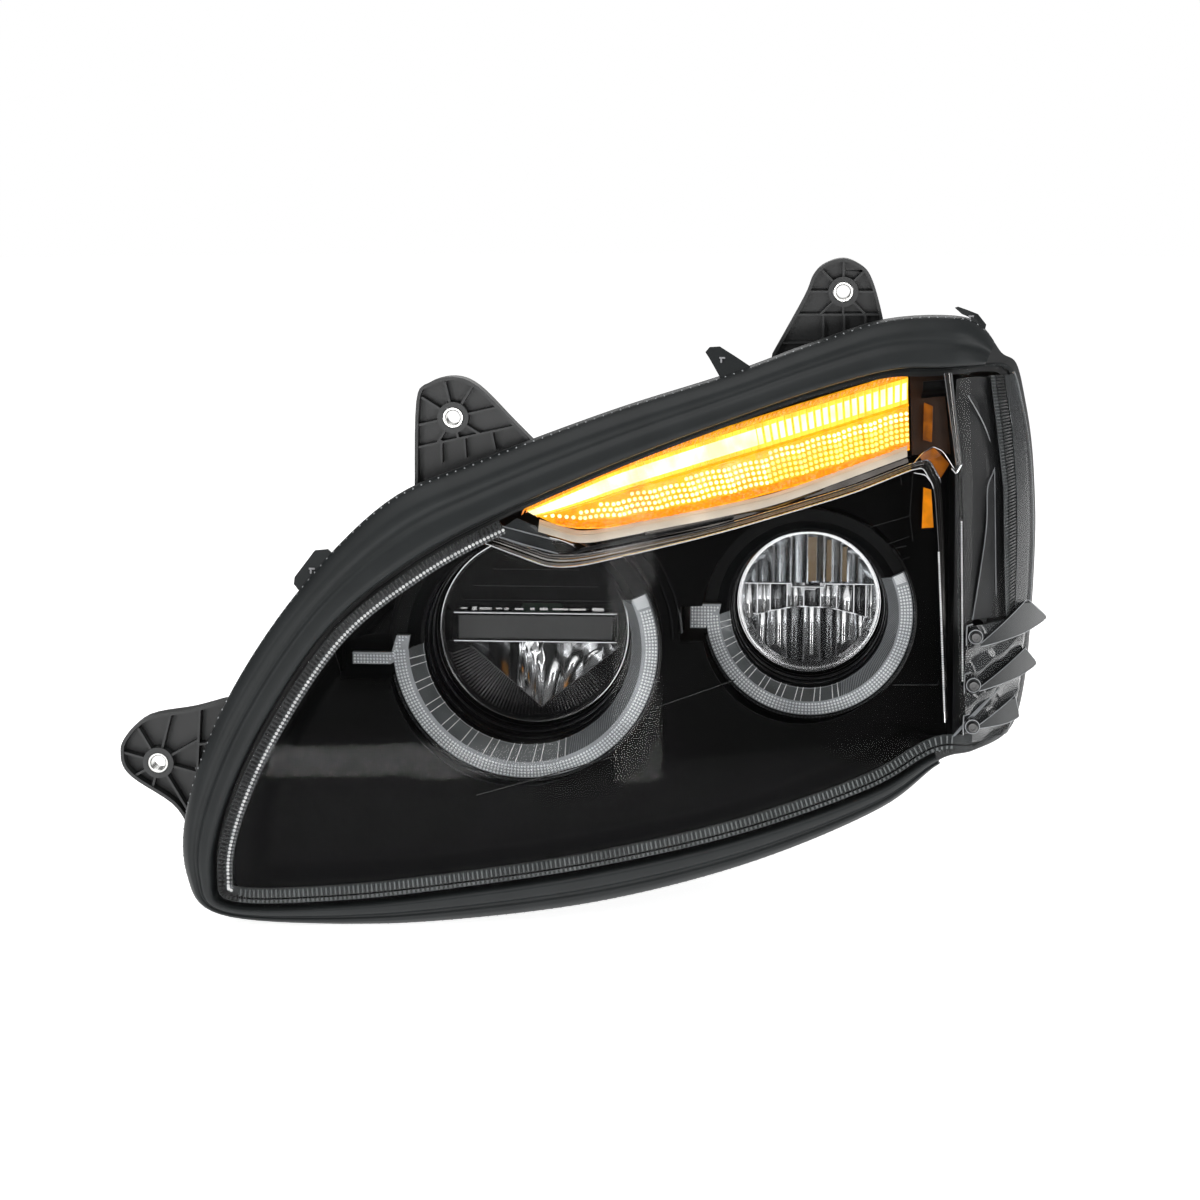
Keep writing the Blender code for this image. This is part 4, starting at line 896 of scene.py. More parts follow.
def add_rib(shape, run, upright, height, half):
    """One straight rib on the rear wall along a run of places."""
    if len(run) < 3:
        return
    ax, az = run[0]
    bx, bz = run[-1]
    across = (half, 0, 0) if upright else (0, 0, half)
    start = Vector((ax, rear_wall(ax) + height / 2 - 0.5, az))
    end = Vector((bx, rear_wall(bx) + height / 2 - 0.5, bz))
    shape.bar(start, end, across, (0, height / 2, 0))


def make_turrets():
    """The two round extensions that lead to the service holes, with a rolled lip and ribs."""
    for label, beam in (("low", LOW), ("high", HIGH)):
        x, z, outer, end, hole = beam["x"], beam["z"], beam["turret_r"], beam["turret_end"], beam["cap_r"]
        inner = outer - TURRET_WALL
        start = rear_wall(x - outer) - 1.5
        profile = [(inner, start), (outer, start), (outer, end - 2), (outer - 0.6, end - 0.6),
                   (outer - 2, end), (hole + 8, end), (hole + 0.4, end), (hole, end - 0.4),
                   (hole, end - TURRET_WALL), (inner - 2, end - TURRET_WALL),
                   (inner, end - TURRET_WALL - 2)]
        shape = Shape().turned(profile, x, z, 112)
        for index in range(TURRET_RIBS):
            out, across = spoke(index * 360 / TURRET_RIBS)
            low = rear_wall(x + outer * out.x) - 1
            if end - low < 8:
                continue
            foot = Vector((x, low, z)) + out * (outer + 1.0)
            shape.bar(foot, foot + Vector((0, end - 6 - low, 0)), across * 0.9, out * 2.0)
        piece(f"housing_{label}_turret", shape, "housing")


def make_wall_bosses():
    """The adjuster boss and the two pivot columns inside the tub."""
    end = ADJUSTER_BOSS_END
    shape = Shape().turned([(7.0, 262), (13.0, 262), (13.0, end - 0.8), (12.2, end), (7.6, end),
                            (7.0, end - 0.6)], ADJUSTER_X, ADJUSTER_Z, 48)
    rise = Vector((0, 14, 0))
    for index in range(4):
        out, across = spoke(45 + index * 90)
        foot = Vector((ADJUSTER_X, 266, ADJUSTER_Z)) + out * 16
        inner, outer = foot - out * 4, foot + out * 4
        shape.loft([[inner + side, outer + side, inner + side + rise] for side in (across, -across)])
    piece("housing_adjuster_boss", shape, "housing")
    columns = Shape()
    for x, front, radius in PIVOT_COLUMNS:
        back = rear_wall(x) - 1.5
        columns.turned([(0.01, front), (radius, front), (radius, back), (0.01, back)], x, PIVOT_Z, 32)
    piece("housing_pivot_columns", columns, "housing")


def tab_rib_meshes(tab):
    """The spokes round the bolt boss and the straight ribs across a fixing tab."""
    cx, cz = tab["hole"]
    front = tab["rear_y"] - TAB_DEPTH + 1.6
    back = tab["rear_y"] - TAB_FLOOR + 0.6
    middle, half_deep = Vector((cx, (front + back) / 2, cz)), (0, (back - front) / 2, 0)
    strips = Shape()
    for index in range(8):
        out, across = spoke(tab["tilt"] + index * 45)
        reach = spoke_reach(tab, (cx, cz), out)
        meet = crossing((0, 0), (out.x * 200, out.z * 200), tab["ribs"][0])
        far = min(reach, meet) if meet else reach
        start, end = middle + out * (TAB_BOSS_R - 1), middle + out * (far - 0.4)
        strips.bar(start, end, across * (-TAB_RIB / 2), half_deep)
    for (ax, az), (bx, bz) in tab["ribs"]:
        along = Vector((bx - ax, 0, bz - az)).normalized()
        strips.bar(middle + Vector((ax, 0, az)), middle + Vector((bx, 0, bz)),
                   (along.z * TAB_RIB / 2, 0, -along.x * TAB_RIB / 2), half_deep)
    return strips


def crossing(start, end, rib):
    """How far from start the line to end meets a rib, or None."""
    (ax, az), (bx, bz) = rib
    dx, dz = end[0] - start[0], end[1] - start[1]
    ex, ez = bx - ax, bz - az
    cross = dx * ez - dz * ex
    if abs(cross) < 1e-9:
        return None
    t = ((ax - start[0]) * ez - (az - start[1]) * ex) / cross
    s = ((ax - start[0]) * dz - (az - start[1]) * dx) / cross
    if t > 0 and 0 <= s <= 1:
        return t * math.hypot(dx, dz)
    return None


def spoke_reach(tab, centre, out):
    """Distance from the bolt hole to the inside of the tab's outer wall."""
    best = 400.0
    outline = tab["outline"]
    for (ax, az), (bx, bz) in zip(outline, outline[1:] + outline[:1]):
        rib = ((ax - centre[0], az - centre[1]), (bx - centre[0], bz - centre[1]))
        met = crossing((0, 0), (out.x * 400, out.z * 400), rib)
        if met:
            best = min(best, met)
    return best - TAB_WALL / 2


def shaped_outline(outline):
    """The tab outline with its corners rounded, closed along the lamp side."""
    left = min(x for x, _ in outline)
    rounded = [(max(x, left), z) for x, z in spline(outline[1:-1], 5)]
    return rounded + [outline[-1], outline[0]]


def make_tabs():
    """The three spoked fixing tabs, each trimmed where it enters the tub wall."""
    trim_rings = tub_rings(WALL_SHRINK / 2, SHELL_THICK / 2)
    for label, tab in TABS.items():
        x, z = tab["hole"]
        outline = shaped_outline(tab["outline"])
        area = sum(a[0] * b[1] - b[0] * a[1] for a, b in zip(outline, outline[1:] + outline[:1]))
        if area < 0:
            outline.reverse()
        inner = inset(outline, TAB_WALL, closed=True)
        front, back = tab["rear_y"] - TAB_DEPTH, tab["rear_y"]
        whole = plate("plate", [outline], front, back)
        hollow = plate("hollow", [inner], front - 1, back - TAB_FLOOR)
        boss = drum(TAB_BOSS_R, front, back - 1, x, z, 48)
        ribs = mesh_of("ribs", tab_rib_meshes(tab))
        limit = plate("limit", [outline], front, back - 0.5)
        ribs = carve(ribs, [limit], "INTERSECT", crossed=True)
        tub = Shape().loft([[(px, LENS_FRONT - 100, pz) for px, _, pz in trim_rings[0]]] + trim_rings)
        mesh = carve(whole, [hollow])
        mesh = carve(mesh, [boss, ribs], "UNION", crossed=True)
        mesh = carve(mesh, [mesh_of("tub", tub), drum(LIMITER_OUTER + 0.3, front - 5, back + 5, x, z, 48)])
        piece(f"housing_{label}_tab", mesh, "housing", sharp=30, bevel=0.3)


def make_limiters():
    """The steel sleeves in the tab holes, chamfered at both ends."""
    for label, tab in TABS.items():
        x, z = tab["hole"]
        front, back = tab["rear_y"] - TAB_DEPTH, tab["rear_y"]
        profile = [(LIMITER_INNER + 0.7, front), (LIMITER_OUTER - 0.3, front), (LIMITER_OUTER, front + 0.4),
                   (LIMITER_OUTER, back - 0.4), (LIMITER_OUTER - 0.3, back), (LIMITER_INNER + 0.7, back),
                   (LIMITER_INNER, back - 0.8), (LIMITER_INNER, front + 0.8)]
        piece(f"{label}_sleeve", Shape().turned(profile, x, z, 64), "steel",
              replaces=[f"{label}_limiter"])


# ---------------------------------------------------------------- seals and outer lens
def seal_path():
    first, last = SEAL_FIRST_STATION * OUTLINE_STEPS + 4, SEAL_LAST_STATION * OUTLINE_STEPS
    return list(range(first, last + 1))


def make_hood_seal():
    """The wide soft band between the lens edge and the flange rim, with two low ridges."""
    section = spline(SEAL_SECTION, 3)
    rings = []
    for index in seal_path():
        (rim_x, rim_z), (edge_x, edge_z) = RIM[index], EDGE[index]
        rings.append([behind_lens(edge_x + (rim_x - edge_x) * share, edge_z + (rim_z - edge_z) * share,
                                  offset) for share, offset in section])
    shape, pegs = Shape().loft(rings), Shape()
    for outline in SEAL_FLAPS.values():
        shape.loft([on_lens(outline, SEAL_FLAP_FRONT), on_lens(outline, SEAL_FLAP_BACK)])
        x, y, z = behind_lens(*[sum(axis) / len(outline) for axis in zip(*outline)], SEAL_FLAP_FRONT - 0.6)
        pegs.box((x, y, z + 0.9), (4.4, 1.6, 1.3))
        pegs.box((x - 0.8, y, z - 1.2), (1.4, 1.6, 3.2))
    piece("hood_seal_band", shape, "rubber", replaces=["hood_seal"], sharp=50)
    piece("seal_flap_pegs", pegs, "peg_grey", slot="seal_rubber", bevel=0.3)


def make_seal_teeth():
    """The row of fine teeth along the outer edge of the seal, inboard and above."""
    path = inset(resample([RIM[i] for i in seal_path()], 210), 0.9)
    piece("flange_teeth", dome_row(path, 9.2, 0.85, 0.9), "guide_edge")


def make_outer_lens():
    """The clear outer lens with its skirt, at its real thickness."""
    rows = [(1.0, SKIRT_DEPTH), (1.0, 2.0), (0.9985, 0.7), (0.994, 0.1), (0.985, 0.0)]
    rows += [(scale / 100, 0.0) for scale in (95, 90, 84, 76, 66, 54, 40, 26, 12, 1)]
    front = [on_lens(scaled(EDGE, scale), offset) for scale, offset in rows]
    back = [on_lens(scaled(EDGE, scale * 0.99), max(offset, 0.0) + LENS_THICK) for scale, offset in rows]
    back[0] = on_lens(scaled(EDGE, 0.99), SKIRT_DEPTH)
    shape = Shape().grid(front, closed=True)
    shape.grid(back, closed=True, flip=True)
    shape.grid([front[0], back[0]], closed=True, flip=True)
    cx, cz = OUTLINE_CENTRE
    for ring, offset, turned_over in ((front[-1], 0.0, False), (back[-1], LENS_THICK, True)):
        count = len(ring)
        faces = [(i, (i + 1) % count, count) for i in range(count)]
        shape.add(ring + [behind_lens(cx, cz, offset)],
                  [face[::-1] for face in faces] if turned_over else faces)
    lens = piece("outer_lens_shell", shape, "clear", replaces=["outer_lens"])
    lens.data.shade_smooth()


def border_path(first_station, last_station, pitch):
    """Evenly spaced places along the lens edge, each with its direction inwards and along."""
    part = EDGE[int(first_station * OUTLINE_STEPS):int(last_station * OUTLINE_STEPS) + 1]
    length = sum(math.dist(a, b) for a, b in zip(part, part[1:]))
    path = resample(part, int(length / pitch))
    inner = inset(path, 1.0)
    places = []
    for (x, z), (ix, iz) in zip(path, inner):
        places.append(((x, z), (ix - x, iz - z), (iz - z, x - ix)))
    return places


def border_bar(shape, place, start, end, half, offset, high=0.4):
    """A small bar across the border, from one inset to another."""
    (x, z), (ix, iz), (ax, az) = place
    sx, sz, ex, ez = x + ix * start, z + iz * start, x + ix * end, z + iz * end
    shape.bar(behind_lens(sx, sz, offset), behind_lens(ex, ez, offset),
              (ax * half, 0, az * half), (0, high, 0))


def make_lens_border():
    """The moulded border behind the lens edge: a grey band, dark ticks, and a row of bright beads."""
    path = resample(EDGE[BORDER_FIRST * OUTLINE_STEPS:BORDER_LAST * OUTLINE_STEPS + 1], 420)
    rows = [on_lens(inset(path, distance), offset)
            for distance, offset in ((2.2, 4.4), (5.5, 4.6), (9.0, 5.2), (13.0, 6.4))]
    piece("lens_border_band", Shape().slab(rows, 0.8), "border_grey", sharp=50)
    ticks, beads, fine = Shape(), Shape(), Shape()
    for place in border_path(BORDER_FIRST, BORDER_TURN, 3.2):
        border_bar(ticks, place, 2.8, 7.6, 0.75, 4.2, 0.5)
    for (x, z), (ix, iz), _ in border_path(BORDER_FIRST, BORDER_TURN - 0.3, 2.9):
        beads.dome(behind_lens(x + ix * 9.8, z + iz * 9.8, 4.9), 1.25, 1.0, 8)
        fine.dome(behind_lens(x + ix * 12.0, z + iz * 12.0, 5.6), 0.8, 0.7, 6)
    piece("lens_border_ticks", ticks, "gloss")
    piece("lens_border_beads", beads, "bead_bright")
    piece("lens_border_fine_beads", fine, "guide_edge")
    upright, squares = Shape(), Shape()
    for place in border_path(BORDER_TURN, BORDER_LAST - 0.6, 3.3):
        border_bar(upright, place, 6.8, 12.4, 0.55, 4.4, 0.35)
        border_bar(squares, place, 2.8, 5.0, 0.8, 3.9, 0.35)
    piece("lower_border_ribs", upright, "border_light")
    piece("lower_border_squares", squares, "border_light")
    piece("lower_border_line", tubes([on_lens(inset(path[150:], 5.8), 4.0)], 0.5), "gloss")


def make_lens_bosses():
    """The three clear bosses and their raised outlines, with the fins and the thick foot."""
    bosses, outlines = Shape(), Shape()
    for x, z in BOSS_POINTS:
        face = lens_depth(x, z) - BOSS_PROUD
        back = face + BOSS_PROUD + 13
        bosses.turned([(SCREW_HOLE_R, face), (BOSS_RADIUS - 0.7, face), (BOSS_RADIUS, face + 0.8),
                       (BOSS_RADIUS, back), (SCREW_HOLE_R, back)], x, z, 40)
        outlines.turned(ring_section(BOSS_RADIUS - 0.3, face + 0.2, 0.35), x, z, 40)
        path = [(x - 6.6, z - 7), (x - 6.8, z), (x - 6.4, z + 7.5), (x - 2, z + 8.2)]
        outlines.tube(on_lens(path, 3.4), 0.5, 6)
    piece("lens_bosses", bosses, "clear_fin")
    piece("boss_outlines", outlines, "guide_edge")
    make_lens_fins()
    make_wrap_foot()


def make_lens_fins():
    """The clear fins outboard of the bosses, each with two light edges."""
    fins, edges = Shape(), Shape()
    for lower, upper in FINS:
        pairs = zip(resample(lower, FIN_RINGS), resample(upper, FIN_RINGS))
        fins.loft([on_lens([low, high], FIN_FRONT) + on_lens([high, low], FIN_BACK) for low, high in pairs])
        for line, radius in ((lower, 0.45), (upper, 0.35)):
            edges.tube(on_lens(resample(line, 24)[:-1], FIN_FRONT - 0.1), radius, 6)
    piece("lens_fins", fins, "clear_fin", sharp=20)
    piece("lens_fin_edges", edges, "guide_edge")


def make_wrap_foot():
    """The thick clear foot of the wrap, with a gently waved face."""
    left, top, height = 274.5, -22, 87

    def waved(across, up):
        z = top - height * up
        x = left + (wrap_edge(z) - 3.5 - left) * across
        wave = 1.8 * math.sin(x / 4.1 + z / 7.0) + 1.5 * math.sin(z / 3.4 - x / 8.0)
        return behind_lens(x, z, 8.5 + wave)

    piece("wrap_foot", Shape().slab(patch(30, 40, waved), 1.6), "foot_glass", sharp=80)


def make_lens_screws():
    """Round-headed screws with a six-point recess in the clear bosses."""
    for index, (x, z) in enumerate(BOSS_POINTS):
        face = lens_depth(x, z) - BOSS_PROUD
        head = [(0.01, -2.2), (2.0, -2.2), (2.0, -3.3), (3.2, -3.2), (4.0, -1.8),
                (4.0, -0.3), (2.2, -0.3), (2.2, 19), (1.2, 21), (0.01, 21)]
        shape = Shape().turned([(radius, face + depth) for radius, depth in head], x, z, 40)
        for step in range(6):
            out, _ = spoke(step * 60)
            shape.dome(Vector((x, face - 2.2, z)) + out * 2.1, 0.55, 0.9)
        piece(f"lens_screw_head_{index + 1}", shape, "screw_dark", replaces=[f"lens_screw_{index + 1}"])


# ---------------------------------------------------------------- bezel and side panel
def smooth_step(low, high, value):
    t = min(max((value - low) / (high - low), 0.0), 1.0)
    return t * t * (3 - 2 * t)


def bezel_relief(x, z):
    """How far the face of the bezel is pressed back from its plain form."""
    ridge = -62 - 0.16 * (x + 150) - 0.0009 * (x + 150) ** 2
    facet = smooth_step(0, 26, z - ridge) * (1 - smooth_step(-155, -118, x))
    lower = smooth_step(-150, -90, x) * smooth_step(0, 22, -112 - 0.05 * x - z)
    return 7.0 * facet - 2.0 * lower


def bezel_rows():
    """Front rows of the bezel, from its border to its centre."""
    table = spline([(0.955, 10.0), (0.93, 12.5), (0.91, 17.0), (0.885, 29.0), (0.86, 35.5), (0.82, 37.6),
                    (0.76, BEZEL_FACE), (0.6, BEZEL_FACE)], 3)
    table += [(share / 100, BEZEL_FACE) for share in (54, 48, 42, 36, 30, 24, 18, 12, 6, 1)]
    return [[behind_lens(x, z, offset + bezel_relief(x, z) * smooth_step(30, BEZEL_FACE, offset))
             for x, z in scaled(EDGE, scale)] for scale, offset in table]


def slot_cutter(centre, size, turn=0.0):
    return mesh_of("slot", Shape().box(centre, size, turn))


def make_bezel():
    """The deep black inner panel with its two bowls, arm recesses and the turn signal opening."""
    mesh = mesh_of("bezel", Shape().slab(bezel_rows(), 2.5, closed=True))
    cutters = [drum(beam["halo_outer"] + 2.5, beam["halo_y"] - 60, beam["halo_y"] + 60,
                    beam["x"], beam["z"], 128) for beam in (LOW, HIGH)]
    cutters.append(plate("opening", [SIGNAL_OPENING], 20, 300))
    cutters += [slot_cutter(centre, size) for centre, size in BEZEL_SLOTS]
    piece("bezel_panel", carve(mesh, cutters), "bezel", replaces=["bezel"], sharp=28)


def make_bowl_rims():
    """The rolled lips round the two bowls."""
    for label, beam in (("low", LOW), ("high", HIGH)):
        front, outer = beam["halo_y"], beam["halo_outer"] + 2.4
        profile = [(outer - 1.6, front - 1.5), (outer - 0.8, front - 3.2), (outer + 0.6, front - 2.4),
                   (outer + 1.0, front + 8), (outer - 1.6, front + 8)]
        piece(f"{label}_bowl_lip", Shape().turned(profile, beam["x"], beam["z"], 128, 192, 400), "gloss")


def make_bezel_lines():
    """Fine raised lines on the bezel: folds between the bowls, nested frames, the arm surround, painted
    lighter than the bezel as their highlights.
    """
    paths = [[behind_lens(x, z, BEZEL_FACE - 0.6 + bezel_relief(x, z)) for x, z in resample(line, 24)]
             for line in BEZEL_LINES]
    piece("bezel_fold_lines", tubes(paths, 0.55), "ridge_highlight")


def make_crescents():
    """The two crescent ridges outboard of the low beam, painted lighter than the bezel as their highlights.
    """
    shape = Shape()
    for radius, first, last, wide in ((106, 2, 44, 3.2), (113, 4, 48, 2.4)):
        inner, outer = [arc(LOW["x"], LOW["z"], r, first, last, 48) for r in (radius, radius + wide)]
        lines = ((inner, 38.5), (blend_paths(inner, outer, 0.5), 35.3), (outer, 38.5))
        shape.slab([on_lens(line, offset) for line, offset in lines], 2.0)
    piece("bezel_crescents", shape, "ridge_highlight")


def make_side_panel():
    """The black panel behind the wrap-round part of the lens, with its ribs and long fold."""
    table = spline([(0.955, 10.0), (0.93, 12.5), (0.91, 15.0), (0.88, 21.0), (0.80, 24.0), (0.7, 24.0)], 3)
    rows = [on_lens(scaled(EDGE, scale), offset) for scale, offset in table]
    mesh = mesh_of("side", Shape().slab(rows, 2.2, closed=True))
    cutters = [slot_cutter(centre, size) for centre, size in SIDE_PANEL_SLOTS]
    cutters += [drum(9.0, 60, 300, x, z, 32) for x, z in BOSS_POINTS]
    piece("side_panel", carve(mesh, cutters), "panel_dark", replaces=["side_bezel"], sharp=28)
    paths = [resample(line, 60) for line in (spline(WRAP_CURVE, 6), [(297.1, 94), (299.5, -19)])]
    piece("side_panel_lines", tubes([on_lens(path, 17.5) for path in paths], 0.5), "guide_edge")
    left = on_lens_fine([(292.5, 78), (290.6, 44.8), (281.5, -19)], 18.6, 30)
    right = on_lens_fine([(296.4, 90), (298.2, 30), (299.2, -19)], 18.6, 30)
    piece("side_panel_inlay", Shape().slab([left, right], 1.2), "panel_light")
    outer = on_lens_fine([(276.5, 146), (290.8, 120), (298, 94), (299.8, 30), (300.5, -19)], 19.5, 60)
    leaf = Shape().slab([outer, on_lens_fine(COLUMN_INNER, 16.0, 60)], 1.2)
    piece("side_panel_leaf", leaf, "panel_mid")


def make_wrap_ribs():
    """The upright column of fine ribs on the wrap, and the teeth on its outer edge."""
    inner, outer = resample(COLUMN_INNER, COLUMN_RIBS), resample(COLUMN_OUTER, COLUMN_RIBS)
    for name, finish, first, last, half in (("wrap_rib_column", "border_light", 0.02, 0.30, 0.34),
                                            ("wrap_rib_squares", "gloss", 0.38, 0.92, 0.62)):
        shape = Shape()
        starts, ends = blend_paths(inner, outer, first), blend_paths(inner, outer, last)
        for start, end in zip(on_lens(starts, COLUMN_FACE), on_lens(ends, COLUMN_FACE)):
            shape.bar(start, end, (0, 0, half), (0, 0.5, 0))
        piece(name, shape, finish)
    back = Shape().slab([on_lens(inner, 6.4), on_lens(outer, 6.4)], 1.0)
    piece("wrap_column_back", back, "border_grey")
    piece("wrap_column_rails", tubes([on_lens(path, 5.4) for path in (inner, outer)], 0.4), "guide_dark")
    teeth = Shape()
    edge = [EDGE[i % len(EDGE)] for i in range(28 * OUTLINE_STEPS, 33 * OUTLINE_STEPS)]
    for x, z in resample(edge, 150):
        teeth.box((x - 1.0, lens_depth(x, z) + 4.6, z), (0.9, 1.8, 1.0), turn=1.0)
    piece("wrap_edge_teeth", teeth, "guide_edge")


def make_wrap_skin():
    """The smoky inner skin of the wrap, from the rib column to the outer edge."""
    inner = resample(COLUMN_OUTER, 61)
    outer = [(wrap_edge(z) - 2.6, z) for _, z in inner]
    rows = [on_lens(blend_paths(inner, outer, share), COLUMN_FACE + 1.6 * share)
            for share in (0.0, 0.25, 0.5, 0.75, 1.0)]
    piece("wrap_skin", Shape().slab(rows, 1.2), "wrap_smoke")


def wrap_edge(z):
    """How far outboard the lens edge is at a height."""
    reach = [x for x, edge_z in EDGE if abs(edge_z - z) < 6 and x > 200]
    return max(reach) if reach else 309.0


def make_hatched_patch():
    """The slanted ribbed patch at the foot of the wrap."""
    shape = Shape()
    starts, ends = resample([(255, -112), (277, -90)], 22), resample([(262, -105), (302, -72)], 22)
    for start, end in zip(on_lens(starts, 6.5), on_lens(ends, 6.5)):
        shape.bar(start, end, (0.35, 0, -0.35), (0, 0.5, 0))
    piece("foot_hatching", shape, "guide")


# ---------------------------------------------------------------- bright trims
def ribbon_shape(front, back, thickness, crown=0.0, rows=4):
    """A strip between two paths, with a crowned face."""
    lines = []
    for row in range(rows + 1):
        share = row / rows
        line = blend_paths(front, back, share)
        lift = crown * math.sin(math.pi * share)
        lines.append([(x, y - lift, z) for x, y, z in line])
    return Shape().slab(lines, thickness)


def on_lens_fine(outline, offset, count):
    return on_lens(resample(outline, count), offset)


def rounded_path(path, steps=6, corner=0.25):
    """A path whose corners are eased into short arcs."""
    result = [path[0]]
    for before, here, after in zip(path, path[1:], path[2:]):
        start = tuple(h + (b - h) * corner for h, b in zip(here, before))
        end = tuple(h + (a - h) * corner for h, a in zip(here, after))
        for step in range(steps + 1):
            t = step / steps
            result.append(tuple((1 - t) ** 2 * s + 2 * t * (1 - t) * h + t * t * e
                                for s, h, e in zip(start, here, end)))
    result.append(path[-1])
    return result


def matching_paths(front, back, count):
    """Two paths of the same corner count, with points spread alike along both."""
    shares = [i / (count - 1) * (len(front) - 1) for i in range(count)]
    result = ([], [])
    for path, found in zip((front, back), result):
        for share in shares:
            span = min(int(share), len(path) - 2)
            part = share - span
            found.append(tuple(a + (b - a) * part for a, b in zip(path[span], path[span + 1])))
    return result


def make_trim_strip():
    """The chrome strip under the turn signal and down the outboard side of the high beam."""
    front, back = matching_paths(rounded_path(TRIM_FRONT), rounded_path(TRIM_BACK), 240)
    low_edge, high_edge = on_lens(front, 12.0), on_lens(back, 18.0)
    bands = (("face", 0.08, 0.42, "trim_brown"), ("crown", 0.42, 0.66, "chrome_dim"),
             ("shade", 0.66, 0.84, "trim_brown"))
    for name, start, end, finish in bands:
        low_path, high_path = (blend_paths(low_edge, high_edge, share) for share in (start, end))
        band = ribbon_shape(low_path, high_path, 1.5, crown=0.25, rows=2)
        stands_for = ["trim_strip"] if name == "face" else ()
        piece(f"trim_strip_{name}", band, finish, replaces=stands_for, sharp=50)
    over_strip = on_lens_fine([(40, 52.6), (84, 59.5), (187, 86), (230, 100.8)], 18.4, 60)
    under_ledge = on_lens_fine([(34, 56.4), (130, 72.3), (229, 103.6)], 20.6, 60)
    piece("trim_strip_upper", ribbon_shape(over_strip, under_ledge, 1.2, rows=2), "trim_brown", sharp=50)
    corner = next(i for i, (x, z) in enumerate(front) if x > 249 and z < 82)
    edge = Shape().tube(low_edge[:corner], 0.55, 8)
    edge.tube(blend_paths(low_edge, high_edge, 0.9)[:corner], 0.5, 8).tube(low_edge[corner - 1:], 0.3, 6)
    piece("trim_strip_edge", edge, "chrome")
    beads = dome_row(resample([(253.2, 34.2), (259, -83.5)], 70), 11.4, 0.9, 0.9)
    piece("trim_strip_beads", beads, "bead_bright")


def make_side_trim():
    """The second upright chrome strip: two bright lines above, a fine row of beads below."""
    inboard = on_lens_fine([(256.4, 166), (266.3, 98)], 9.0, 40)
    outboard = on_lens_fine([(261.6, 166), (269.8, 98)], 9.0, 40)
    hook = on_lens_fine([(269.8, 98), (266.0, 92), (262.5, 96)], 9.5, 16)
    piece("side_trim_upper", ribbon_shape(inboard, outboard, 1.4, crown=0.9), "chrome_dim",
          replaces=["side_trim"], sharp=50)
    lines = Shape().tube(inboard, 0.55).tube(outboard, 0.8).tube(hook, 0.7)
    piece("side_trim_lines", lines, "chrome")
    low_front = on_lens_fine([(267.0, 97), (269.0, 54), (270.4, -62)], 9.4, 50)
    low_back = on_lens_fine([(269.8, 97), (271.9, 54), (273.2, -62)], 9.8, 50)
    piece("side_trim_foot", ribbon_shape(low_front, low_back, 1.4, crown=0.3), "gloss")
    beads = dome_row(resample([(270.3, 56), (272.5, -61.3)], 62), 9.2, 0.85, 0.8)
    piece("side_trim_beads", beads, "bead_bright")


def make_brow():
    """The dark glossy strip between the ledge and the chrome strip."""
    front, back = on_lens_fine(BROW_FRONT, 18.0, 50), on_lens_fine(BROW_BACK, 18.5, 50)
    piece("brow_gloss", ribbon_shape(front, back, 1.6, crown=0.3), "gloss", replaces=["brow_panel"])


# ---------------------------------------------------------------- turn signal
def signal_strip(columns, bottom_shift=0.0, top_shift=0.0):
    bottom = resample(spline(SIGNAL_BOTTOM, 6), columns)
    top = resample(spline(SIGNAL_TOP, 6), columns)
    return [(x, z + bottom_shift) for x, z in bottom], [(x, z - top_shift) for x, z in top]


def make_signal_lens():
    """The amber strip: a fluted upper border and a flat lower window, one moulding."""
    bottom, top = signal_strip(241)
    rows = []
    for share, offset, flute in ((0.0, 31.5, 0), (0.02, 30.2, 0), (0.30, 30.0, 0), (0.55, 30.0, 0),
                                 (0.58, 28.6, 0), (0.61, 28.8, 0.5), (0.78, 29.2, 1.3), (0.96, 30.0, 1.0),
                                 (1.0, 31.5, 0)):
        rows.append([behind_lens(x, z, offset - flute * (0.5 + 0.5 * math.cos(i * math.pi / 2.5)))
                     for i, (x, z) in enumerate(blend_paths(bottom, top, share))])
    piece("signal_lens_amber", Shape().slab(rows, 1.6), "amber_window", replaces=["signal_lens"],
          sharp=60)


def pillow(shape, corners, sides, heights, offset, swell):
    """A swollen pad on the signal strip, between shares of the width and height of one cell."""
    (low_a, high_a), (low_b, high_b) = corners
    rows = []
    for share in heights:
        (ax, az), (bx, bz) = blend_paths([low_a, low_b], [high_a, high_b], share)
        row = []
        for step in range(5):
            t = sides[0] + (sides[1] - sides[0]) * step / 4
            bulge = swell * math.sin(math.pi * step / 4) * math.sin(math.pi * (share - 0.5) / 0.5)
            row.append(behind_lens(ax + (bx - ax) * t + 3.0 * (share - 0.75), az + (bz - az) * t,
                                   offset - bulge))
        rows.append(row)
    shape.slab(rows, 0.8)


